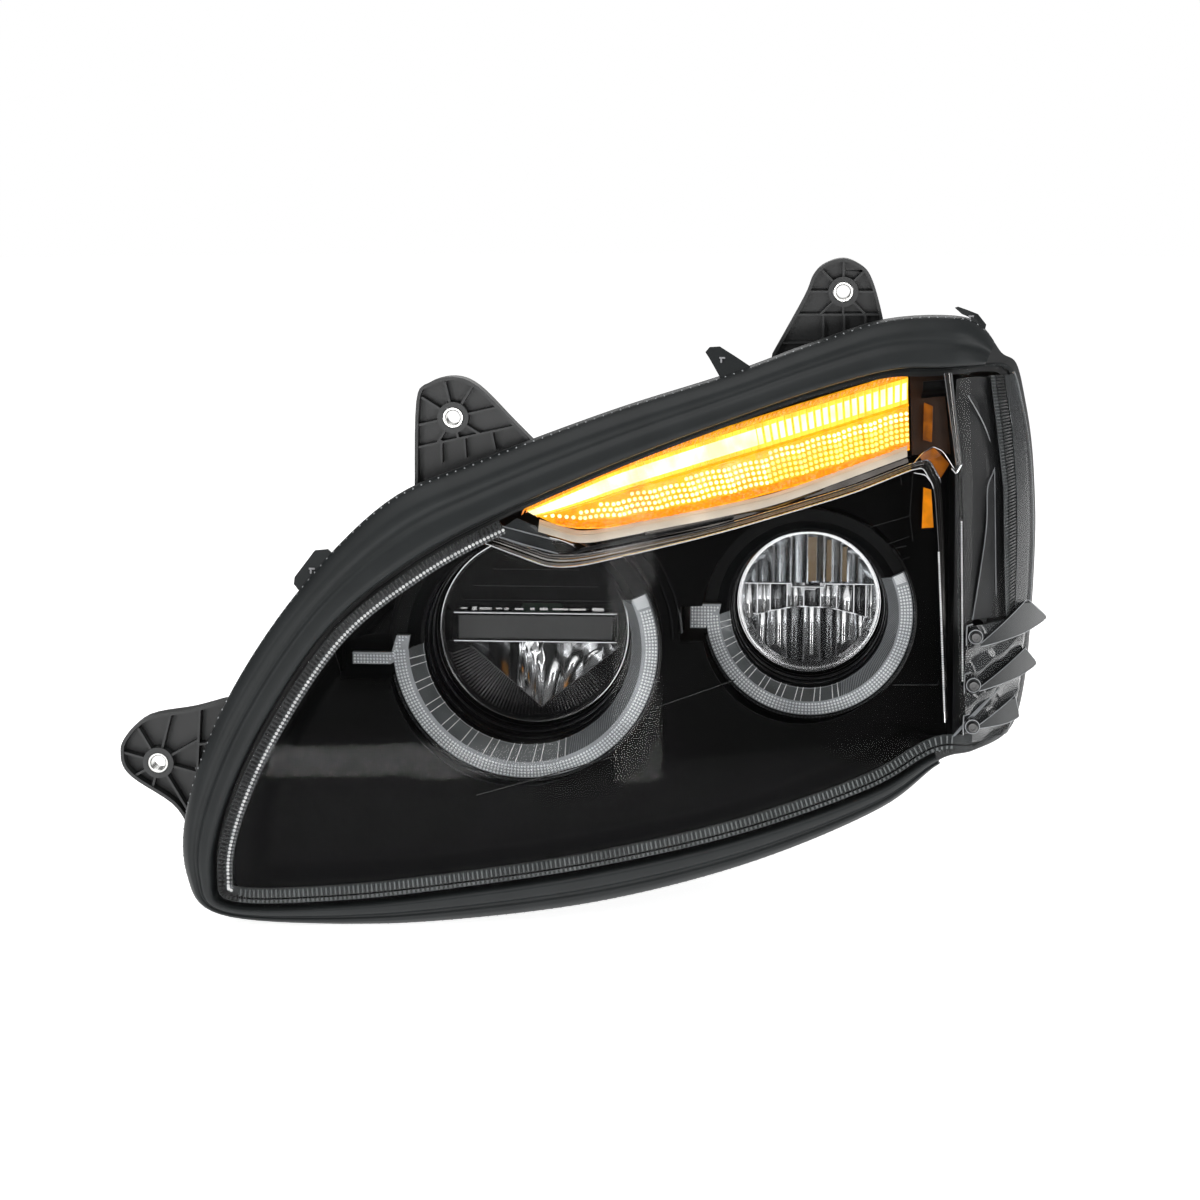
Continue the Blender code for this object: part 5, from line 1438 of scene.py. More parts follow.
def make_signal_border():
    """The lit border above the window: wide pillow flutes with fine teeth along the top."""
    flutes, pads, teeth = Shape(), Shape(), Shape()
    cells = list(zip(*signal_strip(SIGNAL_CELLS + 1)))
    for index, corners in enumerate(zip(cells, cells[1:])):
        pillow(flutes, corners, (0.03, 0.97), (0.60, 0.70, 0.80, 0.92), 28.0, 1.2)
        merged = index < SIGNAL_CELLS * 0.58
        pillow(pads, corners, (0.0, 1.0) if merged else (0.16, 0.80), (0.655, 0.72, 0.79, 0.865), 27.2, 1.0)
    piece("signal_border_flutes", flutes, "amber_hot", sharp=60)
    piece("signal_border_pads", pads, "white_hot", sharp=60)
    _, ridge = signal_strip(170)
    for (ax, az), (bx, bz) in zip(ridge[::2], ridge[1::2]):
        face = lens_depth(ax, az) + 27.5
        outline = [(ax - 1.2, az - 4.2), (bx - 1.6, bz - 4.2), (bx, bz - 0.6), (ax, az - 0.6)]
        teeth.loft([[(x, y, z) for x, z in outline] for y in (face, face + 2.5)])
    piece("signal_border_teeth", teeth, "amber_deep")
    bottom, top = signal_strip(80)
    divider = Shape().tube(on_lens(blend_paths(bottom, top, 0.575), 27.4), 0.75, 6)
    divider.tube(on_lens(inset(bottom, 1.0), 29.0), 0.7, 6)
    piece("signal_divider", divider, "amber")


def make_signal_lamps():
    """Blocks of small lamps in rows behind the window, and the crinkled strip below them."""
    lamps, hot = Shape(), Shape()
    blocks, columns, pitch = 10, 7, 3.9
    bottom, top = signal_strip(blocks * columns * 2 + 1)
    for place in range(blocks * columns):
        block, column = divmod(place, columns)
        (low_x, low_z), (high_x, high_z) = bottom[place * 2 + 1], top[place * 2 + 1]
        height = high_z - low_z
        rows = max(1, min(8, int((height * 0.56 - 7.5) / pitch)))
        for row in range(rows):
            rise = 8.0 + row * pitch + 1.3 * math.sin(math.pi * (column + 0.5) / columns)
            x = low_x + (high_x - low_x) * rise / height + (column - columns / 2) * 0.12
            target = hot if block < 6 or row >= rows - 2 else lamps
            target.dome(behind_lens(x, low_z + rise, 28.4), 1.5, 1.0, 10, 3)
    piece("signal_lamps", lamps, "amber_led")
    piece("signal_lamps_hot", hot, "white_hot")
    draws = random.Random(RANDOM_SEED)
    bottom, _ = signal_strip(150)
    rows = [[behind_lens(x, z + rise, 29.2 - draws.uniform(0, 1.6)) for x, z in bottom]
            for rise in (1.2, 2.6, 4.0, 5.4, 6.8)]
    piece("signal_crinkle", Shape().slab(rows, 0.6), "amber_deep", sharp=15)


def make_signal_tray():
    """The bright reflector tray behind the amber strip, in stepped pockets."""
    outer_low, outer_high = [line[22:] for line in signal_strip(81, 3.0, 3.0)]
    inner_low, inner_high = [line[22:] for line in signal_strip(81, 10.0, 12.0)]
    middle = [behind_lens(x, z, 57 - (i % 8) * 0.8)
              for i, (x, z) in enumerate(blend_paths(inner_low, inner_high, 0.5))]
    rows = [on_lens(outer_low, 36), on_lens(inner_low, 57), middle, on_lens(inner_high, 57),
            on_lens(outer_high, 36)]
    piece("signal_tray", Shape().slab(rows, 1.6), "reflector", replaces=["signal_reflector"], sharp=20)


def make_signal_ledge():
    """The bright strip under the amber window, with a pointed inboard end."""
    path = resample(rounded_path(LEDGE_PATH), 90)
    low, middle, high = [[(x, z + LEDGE_HEIGHT + rise) for x, z in path] for rise in (0, 0.3, 2.5)]
    strip = ribbon_shape(on_lens(path, 20.5), on_lens(low, 25), 2.6, crown=0.5)
    piece("signal_ledge_strip", strip, "ledge", replaces=["signal_ledge"])
    piece("signal_ledge_face", Shape().slab([on_lens(middle, 25.5), on_lens(high, 28.5)], 1.0), "ledge")


def make_signal_nose():
    """The smoked clear V at the inboard tip of the turn signal."""
    rows = [on_lens_fine([(-84, 55.5), (-26, 41)], 19, 24), on_lens_fine([(-70, 60), (-34, 54)], 21, 24),
            on_lens_fine([(-58, 68), (-44, 62)], 24, 24)]
    piece("signal_nose", Shape().slab(rows, 1.5), "guide_dark", sharp=20)
    paths = [on_lens_fine([(-78, 58.5), (-52, 50), (-27, 43)], 17.0, 24),
             on_lens_fine([(-68, 63), (-46, 57), (-28, 52)], 19.0, 24)]
    piece("signal_nose_lines", tubes(paths, 0.5), "guide")


def make_marker():
    """The facet beside the trim corner, painted dim amber with a faint glow as its reflection of the marker's
    light, its light pipe, and the streak above with the same painted amber glow.
    """

    def sheet(lines, count, thickness):
        return Shape().slab([on_lens_fine(line, offset, count) for line, offset in lines], thickness)

    # The facet is painted dim amber with a faint glow: the reflection of the marker's light.
    facet = sheet((([(237.7, 104.3), (249.7, 109.6)], 26.0), ([(242.5, 98.2), (255.5, 103.6)], 28.5),
                   ([(247.6, 91.2), (261.5, 97.2)], 26.0), ([(249.9, 81.5), (256.5, 89.5)], 25.0)), 12, 1.6)
    piece("marker_facet_amber_reflection", facet, "amber_painted_glow", replaces=["marker_facet"], sharp=15)
    frames = ([(234, 100), (241, 107.5), (248.4, 111.7), (256, 108), (265, 94.4)],
              [(234, 93), (243, 91), (249.5, 82)], [(240, 101), (247, 92), (250, 81)])
    piece("marker_frame_lines", tubes([on_lens(rounded_path(line), 17.0) for line in frames], 0.4), "chrome")
    pipe = sheet([(blend_paths(PIPE_UPPER, PIPE_LOWER, share), 31) for share in (0, 0.5, 1)], 5, 2.0)
    piece("marker_pipe_amber", pipe, "amber_mid", replaces=["marker_light_pipe"], bevel=0.4)
    # The streak carries the same painted amber glow.
    streak = sheet((([(241.8, 143), (248.8, 140)], 28), ([(241.2, 115.5), (248.1, 113.4)], 28)), 5, 1.5)
    piece("marker_streak", streak, "amber_painted_glow", bevel=0.4)
    smoke = sheet((([(231, 166), (256, 166)], 33), ([(233, 104), (263, 104)], 33)), 5, 1.2)
    piece("marker_smoke", smoke, "panel_brown")


# ---------------------------------------------------------------- light guides
def halo_outline(beam, arm, outer, inner):
    ring = arc(beam["x"], beam["z"], outer, HALO_START + 7, HALO_END, 96)
    ring += arc(beam["x"], beam["z"], inner, HALO_END, HALO_START, 90)
    return ring + arm


def make_halo(label, beam, arm):
    """The open light ring: a clear base with its arm, covered with rows of small beads."""
    front, outer, inner = beam["halo_y"], beam["halo_outer"], beam["bead_inner"]
    face = front + 1.35
    centre = Vector((beam["x"], face, beam["z"]))
    base = plate("halo", [halo_outline(beam, arm, outer, inner)], front + 1.3, front + HALO_THICK)
    piece(f"{label}_halo_base", base, "guide", replaces=[f"{label}_halo"], bevel=0.3)
    beads = Shape()
    step = math.degrees(BEAD_STEP / (outer - 5))
    for row in range(int((outer - inner - 0.6) / BEAD_PITCH)):
        radius = outer - 1.4 - row * BEAD_PITCH
        for index in range(int((HALO_END - 8 - HALO_START) / step) + 1):
            out, _ = spoke(HALO_START + 2 + index * step)
            beads.dome(centre + out * radius, BEAD_RADIUS, BEAD_HEIGHT)
    for x, z in arm_bead_places(arm):
        beads.dome((x, face, z), BEAD_RADIUS, BEAD_HEIGHT)
    piece(f"{label}_halo_beads", beads, "bead")
    ribs = Shape()
    foot = Vector((beam["x"], front + 1.3, beam["z"]))
    for index in range(7):
        out, across = spoke(HALO_END - 5.2 + index * 0.8)
        ribs.bar(foot + out * (inner + 1), foot + out * (outer - 1), across * 0.3, (0, 0.4, 0))
    piece(f"{label}_halo_end_ribs", ribs, "bead")


def arm_bead_places(arm):
    """Bead places inside the arm of a light guide, on a square grid."""
    inner = inset(arm if is_counter_clockwise(arm) else arm[::-1], 1.2, closed=True)
    places = []
    x = min(point[0] for point in arm) + 1.6
    while x < max(point[0] for point in arm):
        z = min(point[1] for point in arm) + 1.6
        while z < max(point[1] for point in arm):
            if inside(inner, x, z):
                places.append((x, z))
            z += 2.4
        x += 2.4
    return places


def is_counter_clockwise(path):
    return sum(a[0] * b[1] - b[0] * a[1] for a, b in zip(path, path[1:] + path[:1])) > 0


def make_guide_wall(label, beam, depth, shrink):
    """The sloped inner wall of the light ring, with pairs of cross lines and a frosted stretch."""
    x, z, front = beam["x"], beam["z"], beam["halo_y"] + 1.5
    outer = beam["bead_inner"]
    inner = outer - shrink
    profile = [(outer - 0.2, front), (inner, front + depth), (inner + 1.2, front + depth),
               (outer + 1.0, front + 1.0)]
    piece(f"{label}_guide_wall", Shape().turned(profile, x, z, 110, HALO_START + 1, HALO_END), "guide_wall")
    lines, frost, edges = Shape(), Shape(), Shape()

    def cross_line(shape, degrees, width, lean):
        out, across = spoke(degrees)
        far, _ = spoke(degrees + lean)
        start = Vector((x, front, z)) + out * (outer - 0.5)
        end = Vector((x, front + depth, z)) + far * (inner - 0.3)
        shape.bar(start, end, across * width, out * 0.3)

    degrees = HALO_START + 6
    while degrees < FROST_START:
        cross_line(lines, degrees, 0.28, 1.5)
        cross_line(lines, degrees + 4.0, 0.28, 1.5)
        degrees += 12.5
    degrees = FROST_START
    while degrees < HALO_END - 2:
        cross_line(frost, degrees, 0.22, 3.0)
        degrees += 1.3
    for radius, y in ((outer - 0.2, front - 0.2), (inner + 0.2, front + depth - 0.2)):
        edges.turned(ring_section(radius, y, 0.35), x, z, 110, HALO_START + 1, HALO_END - 1)
    piece(f"{label}_guide_lines", lines, "bead_bright")
    piece(f"{label}_guide_frosting", frost, "guide")
    piece(f"{label}_guide_edges", edges, "guide")


def ring_section(radius, depth, half):
    """A small six-sided (radius, depth) section round a point."""
    return [(radius + half * math.cos(math.radians(a)), depth + half * math.sin(math.radians(a)))
            for a in range(0, 360, 60)]


# ---------------------------------------------------------------- beam modules
def make_collar(label, beam, wall_depth, wall_shrink):
    """The black stepped throat behind the light ring, with two thin bright rings in it."""
    x, z = beam["x"], beam["z"]
    start = beam["halo_y"] + HALO_THICK + 1.5
    deep = beam["halo_y"] + 1.5 + wall_depth + 1.0
    outer, mouth = beam["halo_outer"] + 0.8, beam["bead_inner"]
    wide = mouth - wall_shrink
    end, throat = beam["throat_y"], beam["throat_r"]
    profile = [(outer, start), (mouth + 2.0, start + 0.4), (wide + 2.5, deep - 0.5), (wide, deep)]
    for step in range(1, COLLAR_STEPS + 1):
        radius = wide + (throat - wide) * step / COLLAR_STEPS
        depth = deep + (end - 1.5 - deep) * step / COLLAR_STEPS
        profile += [(profile[-1][0], depth - 2.0), (radius + 0.3, depth - 0.7), (radius, depth - 0.2)]
    profile += [(throat, end), (throat + 3, end), (wide + 4.6, deep + 4), (mouth + 4.5, start + 3),
                (outer, start + 3)]
    pieces = [(f"{label}_throat", profile, "collar_dark", [f"{label}_collar"], 25)]
    for index, share in enumerate((0.35, 0.72)):
        ring = ring_section(wide + (throat - wide) * share + 0.2, deep + (end - deep) * share, 0.45)
        pieces.append((f"{label}_throat_ring_{index + 1}", ring, "ring_grey", (), 35))
    for name, section, finish, stands_for, sharp in pieces:
        mesh = mesh_of(name, Shape().turned(section, x, z, 144))
        if label == "low":
            mesh = carve(mesh, [slot_cutter(*LOW_COLLAR_CUT)])
        piece(name, mesh, finish, replaces=stands_for, sharp=sharp)


def make_glass_ring(label, beam):
    """The dark bead that holds the inner glass, and its thin bright lip."""
    x, y, z, inner, outer = beam["x"], beam["ring_y"], beam["z"], beam["ring_inner"], beam["ring_outer"]
    profile = [(inner + 0.1, y + 5.6), (inner + 0.1, y + 1.6), (inner + 1.2, y + 1.2), (inner + 2.8, y + 2.0),
               (outer, y + 2.6), (outer, y + 5.6)]
    ring = Shape().turned(profile, x, z, 144)
    beam_piece(f"{label}_retaining_ring", ring, "ring_grey", replaces=[f"{label}_glass_ring"])
    lip = Shape().turned(ring_section(inner + 0.8, y + 0.9, 0.45), x, z, 144)
    beam_piece(f"{label}_ring_lip", lip, "chrome")


def paraboloid(beam, radius):
    """Depth of the reflector bowl at a distance from its axis."""
    share = 1 - (radius / beam["bowl_r"]) ** 2
    return beam["bowl_y"] + (beam["vertex_y"] - beam["bowl_y"]) * share


def make_bowl(label, beam, finish):
    """The thin reflector bowl of a module."""
    shares = (0.0, 0.1, 0.25, 0.4, 0.55, 0.7, 0.82, 0.9, 0.94)
    front = [(radius, paraboloid(beam, radius)) for radius in
             [beam["bowl_r"] * math.sqrt(1 - share) for share in shares]]
    back = [(radius + 2.2, depth) for radius, depth in reversed(front)]
    bowl = Shape().turned(front + back, beam["x"], beam["z"], 96)
    beam_piece(f"{label}_bowl", bowl, finish, replaces=[f"{label}_reflector"])


def make_low_facets():
    """The chrome V of the low beam, cut in upright facets, with its dark gap and bright edges; its outer left
    and shaded bands are a darker copy of the reflector, painted shade.
    """
    cx, cz, front = LOW["x"], LOW["z"], LOW_FACE
    shine, shade, dark, edges = Shape(), Shape(), Shape(), Shape()
    lift = Vector((0, -0.3, 0))
    for number, (left, right, kind) in enumerate(LOW_BANDS):

        def facet(u, t):
            x = left + (right - left) * u
            low, top = v_limits(x)
            deep = 15.0 * (1 - (1 - t) ** 1.6) * max(1 - 0.5 * ((x - 8) / 60) ** 2, 0.2)
            if kind in (0, 4):
                deep = 11.0 * math.sin(math.pi * (0.1 + 0.8 * t))
            bulge = math.sin(math.pi * u) * (3.0 if kind == 4 else 1.6)
            ripple = 1.6 * math.sin(7.0 * t + number) * math.sin(math.pi * u) if kind == 3 else 0.0
            return (cx + x, front + deep + bulge + ripple + (number % 2) * 0.8, cz + low + (top - low) * t)

        rows = patch(8, 16, facet)
        # Outer left and shaded bands get the darker reflector copy: painted shade.
        {0: shade, 1: shade, 2: dark}.get(kind, shine).slab(rows, 1.2)
        edges.bar(Vector(rows[0][-1]) + lift, Vector(rows[10][-1]) + lift, (0.3, 0, 0), (0, 0.35, 0))
    beam_piece("low_facets", shine, "reflector", sharp=40)
    beam_piece("low_facets_shaded", shade, "reflector_painted_shade", sharp=40)
    beam_piece("low_facet_gap", dark, "gloss", sharp=25)
    beam_piece("low_facet_edges", edges, "chrome")
    rim = [(cx + x, front - 0.4, cz + z) for x, z in V_CORNERS]
    beam_piece("low_facet_rim", tubes([rim], 0.4), "ring_grey")


def v_limits(x):
    """Lower and upper height of the chrome V at a distance from the low beam's axis."""
    left_top, apex, right_top = V_CORNERS
    side = left_top if x < apex[0] else right_top
    share = (x - apex[0]) / (side[0] - apex[0])
    low = apex[1] + (side[1] - apex[1]) * share
    top = left_top[1] + 1.6
    return min(low, top - 0.4), top


def v_reach(out):
    """Distance from the low beam's axis to the edge of the chrome V in a direction, or None."""
    line = ((0, 0), (out.x * 200, out.z * 200))
    return crossing(*line, V_CORNERS[:2]) or crossing(*line, V_CORNERS[1:])


def make_low_surround(cx, cz):
    """Black ribbed apron between the chrome V and the glass ring."""
    shape = Shape()
    count = 66
    for index in range(count):
        out, across = spoke(196 + index * 148 / count)
        reach = v_reach(out)
        if not reach or reach > 66.5:
            continue
        start = Vector((cx, 168, cz)) + out * (reach + 1.0)
        end = Vector((cx, 164.5, cz)) + out * 68.8
        shape.bar(start, end, across * 0.62, (0, 0.8, 0))
    beam_piece("low_apron_ribs", shape, "gloss", sharp=20)
    outer = arc(cx, cz, 69.2, 190, 350, 80)
    inner = []
    for x, z in outer:
        out = Vector((x - cx, 0, z - cz)).normalized()
        reach = min(v_reach(out) or 57.0, 67.5)
        inner.append((cx + out.x * reach, cz + out.z * reach))
    floor = Shape().slab([[(x, y, z) for x, z in line] for line, y in ((inner, 169.0), (outer, 165.5))], 1.0)
    beam_piece("low_apron", floor, "bezel")


def make_low_bar(cx, cz):
    """The bridge bar with its sunk grey face and bright edges."""
    frame_boxes = [((cx, 165.4, cz + rise), (126, 2.4, high)) for rise, high in ((10.0, 2.0), (-10.2, 1.6))]
    frame_boxes += [((cx + shift, 165.4, cz), (4, 2.4, 22)) for shift in (-61.0, 61.0)]
    edge_boxes = [((cx, 164.3, cz + rise), (125, 0.9, 0.7)) for rise in (11.0, -10.9)]
    body = boxes([((cx, 168.5, cz), (126, 4, 22))])
    beam_piece("low_bar_body", body, "bar_grey", replaces=["low_bridge_bar"], bevel=0.4)
    beam_piece("low_bar_frame", boxes(frame_boxes), "bezel", bevel=0.3)
    beam_piece("low_bar_edges", boxes(edge_boxes), "chrome")


def make_low_hood(cx, cz):
    """The strip of small parts above the bridge bar, and the dark hood over it with its seams."""
    bits = Shape()
    draws = random.Random(RANDOM_SEED + 1)
    x = cx - 58
    while x < cx + 52:
        wide = draws.uniform(3, 13)
        bits.box((x + wide / 2, 168 + draws.uniform(0, 2), cz + 13.6), (wide, 1.6, draws.uniform(1.4, 3.2)))
        x += wide + draws.uniform(1.0, 5.0)
    beam_piece("low_lamp_strip", bits, "bits_grey", bevel=0.2)
    upper = arc(cx, cz, 68.6, 16, 164, 60)
    rows = [[(x, 169.0, z) for x, z in upper],
            [(x, 176.0, cz + 17 + (z - cz - 17) * 0.45) for x, z in upper],
            [(x, 182.0, cz + 16.0) for x, z in upper]]
    beam_piece("low_hood", Shape().slab(rows, 1.2), "bezel", sharp=50)
    seams = [((cx, 170.5, cz + rise), (span, 0.8, 0.5)) for rise, span in ((20, 118), (31, 96), (44, 66))]
    beam_piece("low_hood_seams", boxes(seams), "gloss")


def high_ceiling(x, low):
    """Height of the inside of the high beam's ring at a distance from its axis, not under a limit."""
    return math.sqrt(max(HIGH_REACH ** 2 - x * x, low))


def make_high_flutes(cx, cz):
    """The upright flutes above the shelf and the lamp strips between them."""
    flutes, lines, strips = Shape(), Shape(), Shape()
    for left, right in zip(FLUTE_BORDERS, FLUTE_BORDERS[1:]):

        def flute(u, t):
            x = left + (right - left) * u
            z = SHELF_RISE + (high_ceiling(x, SHELF_RISE ** 2 + 1) - SHELF_RISE) * t
            groove = 3.2 * math.sin(math.pi * u) ** 0.7
            step_in = 1.0 if 0.30 < u < 0.62 else 0.0
            return (cx + x, 208.5 + 4.2 * t + groove + step_in, cz + z)

        flutes.slab(patch(12, 8, flute), 1.0)
        high_end = high_ceiling(right, 0)
        if high_end > SHELF_RISE + 4:
            lines.bar((cx + right, 207.6, cz + SHELF_RISE), (cx + right, 211.0, cz + high_end - 1),
                      (0.5, 0, 0), (0, 0.5, 0))
    beam_piece("high_flute_wall", flutes, "flute_grey", replaces=["high_flutes"], sharp=25)
    beam_piece("high_flute_edges", lines, "chrome")
    for left, right in ((-1.2, 5.4), (13.2, 17.0), (25.4, 28.6)):
        middle = (left + right) / 2
        ceiling = high_ceiling(middle, 0) - 3
        outline = [(left, 208.8), (right, 208.8), (right, 209.8), (left, 209.8)]
        strips.loft([[(cx + x, y, cz + z) for x, y in outline] for z in (SHELF_RISE + 1.5, ceiling)])
        for step in range(int((ceiling - SHELF_RISE) / 5)):
            strips.box((cx + middle, 208.6, cz + SHELF_RISE + 4 + step * 5), ((right - left) * 0.5, 0.6, 1.6))
    beam_piece("high_lamp_strips", strips, "tan", bevel=0.1)


def make_high_shelf(cx, z):
    """The bright shelf edge with its centre notch and tab."""
    shape = boxes([((cx - 0.8, 206.9, z - 4.2), (11.4, 1.6, 0.8)),
                   ((cx - 6.1, 206.9, z - 3.4), (0.8, 1.6, 1.6)),
                   ((cx + 4.5, 206.9, z - 3.4), (0.8, 1.6, 1.6))])
    path = [(cx - 50, z), (cx - 13.7, z), (cx - 13.7, z - 2.6), (cx + 12, z - 2.6), (cx + 12, z),
            (cx + 50, z)]
    for (ax, az), (bx, bz) in zip(path, path[1:]):
        if ax == bx:
            shape.box((ax, 207.5, (az + bz) / 2), (0.9, 3.0, abs(az - bz) + 0.9))
        else:
            shape.box(((ax + bx) / 2, 208.5, az), (abs(bx - ax), 5.0, 0.9))
    beam_piece("high_shelf_edge", shape, "chrome", replaces=["high_shelf"], bevel=0.15)


def make_high_facets(cx, cz):
    """Two rows of curved chrome facets below the shelf, and their bright edges; some facets are a darker copy
    of the reflector, painted shade.
    """
    bright, dark, edges = Shape(), Shape(), Shape()
    for number, (left, right) in enumerate(zip(FACET_BORDERS, FACET_BORDERS[1:])):
        for level in (0, 1):

            def facet(u, t):
                x = left + (right - left) * u
                floor = -high_ceiling(x, 1)
                split = max(-7.5 - 0.0035 * x * x, floor + 0.5)
                low, high = (split, SHELF_RISE - 1) if level == 0 else (floor, split)
                z = low + (high - low) * t
                deep = 14.0 * (1 - (math.hypot(x, z) / 60.0) ** 2)
                bulge = math.sin(math.pi * u) * (4.2 if (number + level) % 2 else -2.6)
                sag = math.sin(math.pi * t) * (1.0 if level else 2.0)
                return (cx + x, 209.0 + max(deep, 0) + bulge + sag, cz + z)

            rows = patch(8, 12, facet)
            # Facets picked by this pattern get the darker reflector copy: painted shade.
            target = dark if (number * 3 + level * 2) % 5 in (1, 2) else bright
            target.slab(rows, 1.0)
            foot_left, foot_right, head_right = Vector(rows[0][0]), Vector(rows[0][-1]), Vector(rows[-1][-1])
            if right < 49:
                lift = Vector((0, -0.6, 0))
                edges.bar(foot_right + lift, head_right + lift, (0.4, 0, 0), (0, 0.45, 0))
            if level == 0:
                lift = Vector((0, -0.8, 0))
                edges.bar(foot_left + lift, foot_right + lift, (0, 0, 0.4), (0, 0.5, 0))
    beam_piece("high_facets", bright, "reflector", sharp=40)
    beam_piece("high_facets_shaded", dark, "reflector_painted_shade", sharp=40)
    beam_piece("high_facet_edges", edges, "chrome")


def make_high_teeth(cx, cz):
    """The fine teeth round the lower half of the high beam's reflector."""
    teeth = Shape()
    count = 88
    for index in range(count):
        out, across = spoke(206 + index * 128 / count)
        teeth.bar(Vector((cx, 206.5, cz)) + out * 48.5, Vector((cx, 205.0, cz)) + out * 53.0,
                  across * 0.45, (0, 0.5, 0))
    beam_piece("high_rim_teeth", teeth, "ring_grey")


# ---------------------------------------------------------------- rear of the lamp
def make_caps():
    """Service caps with a stepped face, a grip bar and a knurled rim."""
    for label, beam in (("low", LOW), ("high", HIGH)):
        x, z, end, radius = beam["x"], beam["z"], beam["turret_end"], beam["cap_r"]
        body = f"{label}_cap"
        profile = [(0.01, -2), (radius - 4, -2), (radius - 4, -12), (radius - 0.9, -12),
                   (radius - 0.7, 2.7), (radius + 7.4, 2.7), (radius + 8, 3.3),
                   (radius + 7.6, 5.4), (radius + 6.6, 6), (radius - 6, 6),
                   (radius - 8, 4.2), (radius * 0.5, 4.2), (radius * 0.46, 5.6), (0.01, 5.6)]
        cover = Shape().turned([(reach, end + depth) for reach, depth in profile], x, z, 96)
        piece(f"{label}_cap_cover", cover, "housing", body=body, replaces=[body], sharp=30)
        grip = boxes([((x, end + 9, z), (radius * 1.3, 10, 7))])
        piece(f"{label}_cap_grip", grip, "housing", body=body, bevel=1.6)
        knurl, ribs = Shape(), Shape()
        for index in range(CAP_KNURLS):
            out, across = spoke(index * 360 / CAP_KNURLS)
            middle = Vector((x, end, z)) + out * (radius + 7.3)
            knurl.bar(middle + Vector((0, 3.0, 0)), middle + Vector((0, 5.7, 0)), across * 1.2, out * 0.7)
        for index in range(CAP_RIBS):
            out, across = spoke(15 + index * 360 / CAP_RIBS)
            middle = Vector((x, end + 4.7, z))
            ribs.bar(middle + out * radius * 0.52, middle + out * (radius - 9), across * 0.9, (0, 0.9, 0))
        piece(f"{label}_cap_knurl", knurl, "housing", body=body, bevel=0.3)
        piece(f"{label}_cap_ribs", ribs, "housing", body=body, bevel=0.3)


def make_adjuster():
    """The aiming screw with its thread and a six-sided drive head."""
    centre = Vector((ADJUSTER_X, 0, ADJUSTER_Z))
    end, shoulder = ADJUSTER_BOSS_END, 262
    rings = []
    y = 196.0
    while y < shoulder:
        ring = []
        for step in range(20):
            phase = (y / SCREW_LEAD - step / 20) % 1.0
            out, _ = spoke(step * 18)
            ring.append(centre + out * (SCREW_R - 0.45 * abs(2 * phase - 1)) + Vector((0, y, 0)))
        rings.append(ring)
        y += SCREW_LEAD / 6
    profile = [(0.01, shoulder), (SCREW_R - 0.2, shoulder), (SCREW_R - 0.2, end + 0.4), (9.0, end + 0.4),
               (9.0, end + 3), (0.01, end + 3)]
    thread = Shape().loft(rings).turned(profile, ADJUSTER_X, ADJUSTER_Z, 48)
    piece("adjuster_screw_thread", thread, "steel", body="screw", replaces=["adjuster_screw"], sharp=60)
    hexagons = [[centre + spoke(side * 60)[0] * radius + Vector((0, end + rise, 0)) for side in range(6)]
                for rise, radius in ((3, 6.5), (15, 6.5), (16, 5.6))]
    piece("adjuster_head", Shape().loft(hexagons), "nylon", body="screw", sharp=20, bevel=0.2)


def make_driver():
    """The cast driver box with cooling fins, a flange and four screws."""
    x, z, wide, high = DRIVER
    body, fins, screws = Shape(), Shape(), Shape()
    body.box(behind_wall(x, z, 3.2), (wide, 5.6, high), WALL_TURN)
    body.box(behind_wall(x, z, 9.0), (wide - 10, 8.0, high - 12), WALL_TURN)
    for index in range(9):
        fins.box(behind_wall(x, z + (index - 4) * 5.6, 18.0), (wide - 14, 11.6, 2.0), WALL_TURN)
    profile = [(0.01, -0.4), (2.3, -0.4), (2.3, 1.2), (1.4, 1.8), (0.01, 1.8)]
    for side, level in ((-1, -1), (-1, 1), (1, -1), (1, 1)):
        across = side * (wide / 2 - 3.2) * math.cos(WALL_TURN)
        cx, cy, cz = behind_wall(x + across, z + level * (high / 2 - 3.2), 6.4)
        screws.turned([(radius, cy + depth) for radius, depth in profile], cx, cz, 24)
    piece("driver_box", body, "driver", replaces=["led_driver"], bevel=1.0)
    piece("driver_fins", fins, "driver", bevel=0.5)
    piece("driver_screws", screws, "steel")


def make_vent():
    """The breather cap with slots round its skirt, square to the slanted wall."""
    profile = [(0.01, 0.4), (6, 0.4), (6, 4), (10.4, 4), (11, 4.8), (11, 9.4), (10.2, 11), (8, 12.8),
               (0.01, 13)]
    cap = Shape().turned(profile, 0, 0, 48)
    for index in range(12):
        cap.box(spoke(index * 30)[0] * 11 + Vector((0, 6.8, 0)), (1.2, 4.0, 1.2))
    cx, cy, cz = behind_wall(*VENT, 0.0)
    cosine, sine = math.cos(WALL_TURN), math.sin(WALL_TURN)
    leaning = [(cx + x * cosine - y * sine, cy + x * sine + y * cosine, cz + z) for x, y, z in cap.points]
    piece("vent_cap", Shape().add(leaning, cap.faces), "housing", replaces=["breather_vent"])


def finish_kept_nodes():
    """Finishes for the CAD nodes that are shown as they are."""
    kept = {
        "steel": ["pivot_stud_inboard", "pivot_stud_outboard"],
        "nylon": ["adjuster_nut", "adjuster_bush", "terminal_header"],
        "glass": ["low_glass", "high_glass"],
        "board": ["low_board", "high_board", "signal_board"],
        "board_dark": ["low_halo_board", "high_halo_board"],
        "aluminium": ["low_heat_sink", "high_heat_sink"],
        "rubber": ["low_cap_seal", "high_cap_seal", "lens_seal"],
        "housing": ["carrier_frame", "power_socket"],
    }
    for label, names in kept.items():
        for name in names:
            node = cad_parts[name]
            if not node.material_slots:
                node.data.materials.append(FINISH[label])
            for material_slot in node.material_slots:
                material_slot.material = FINISH[label]


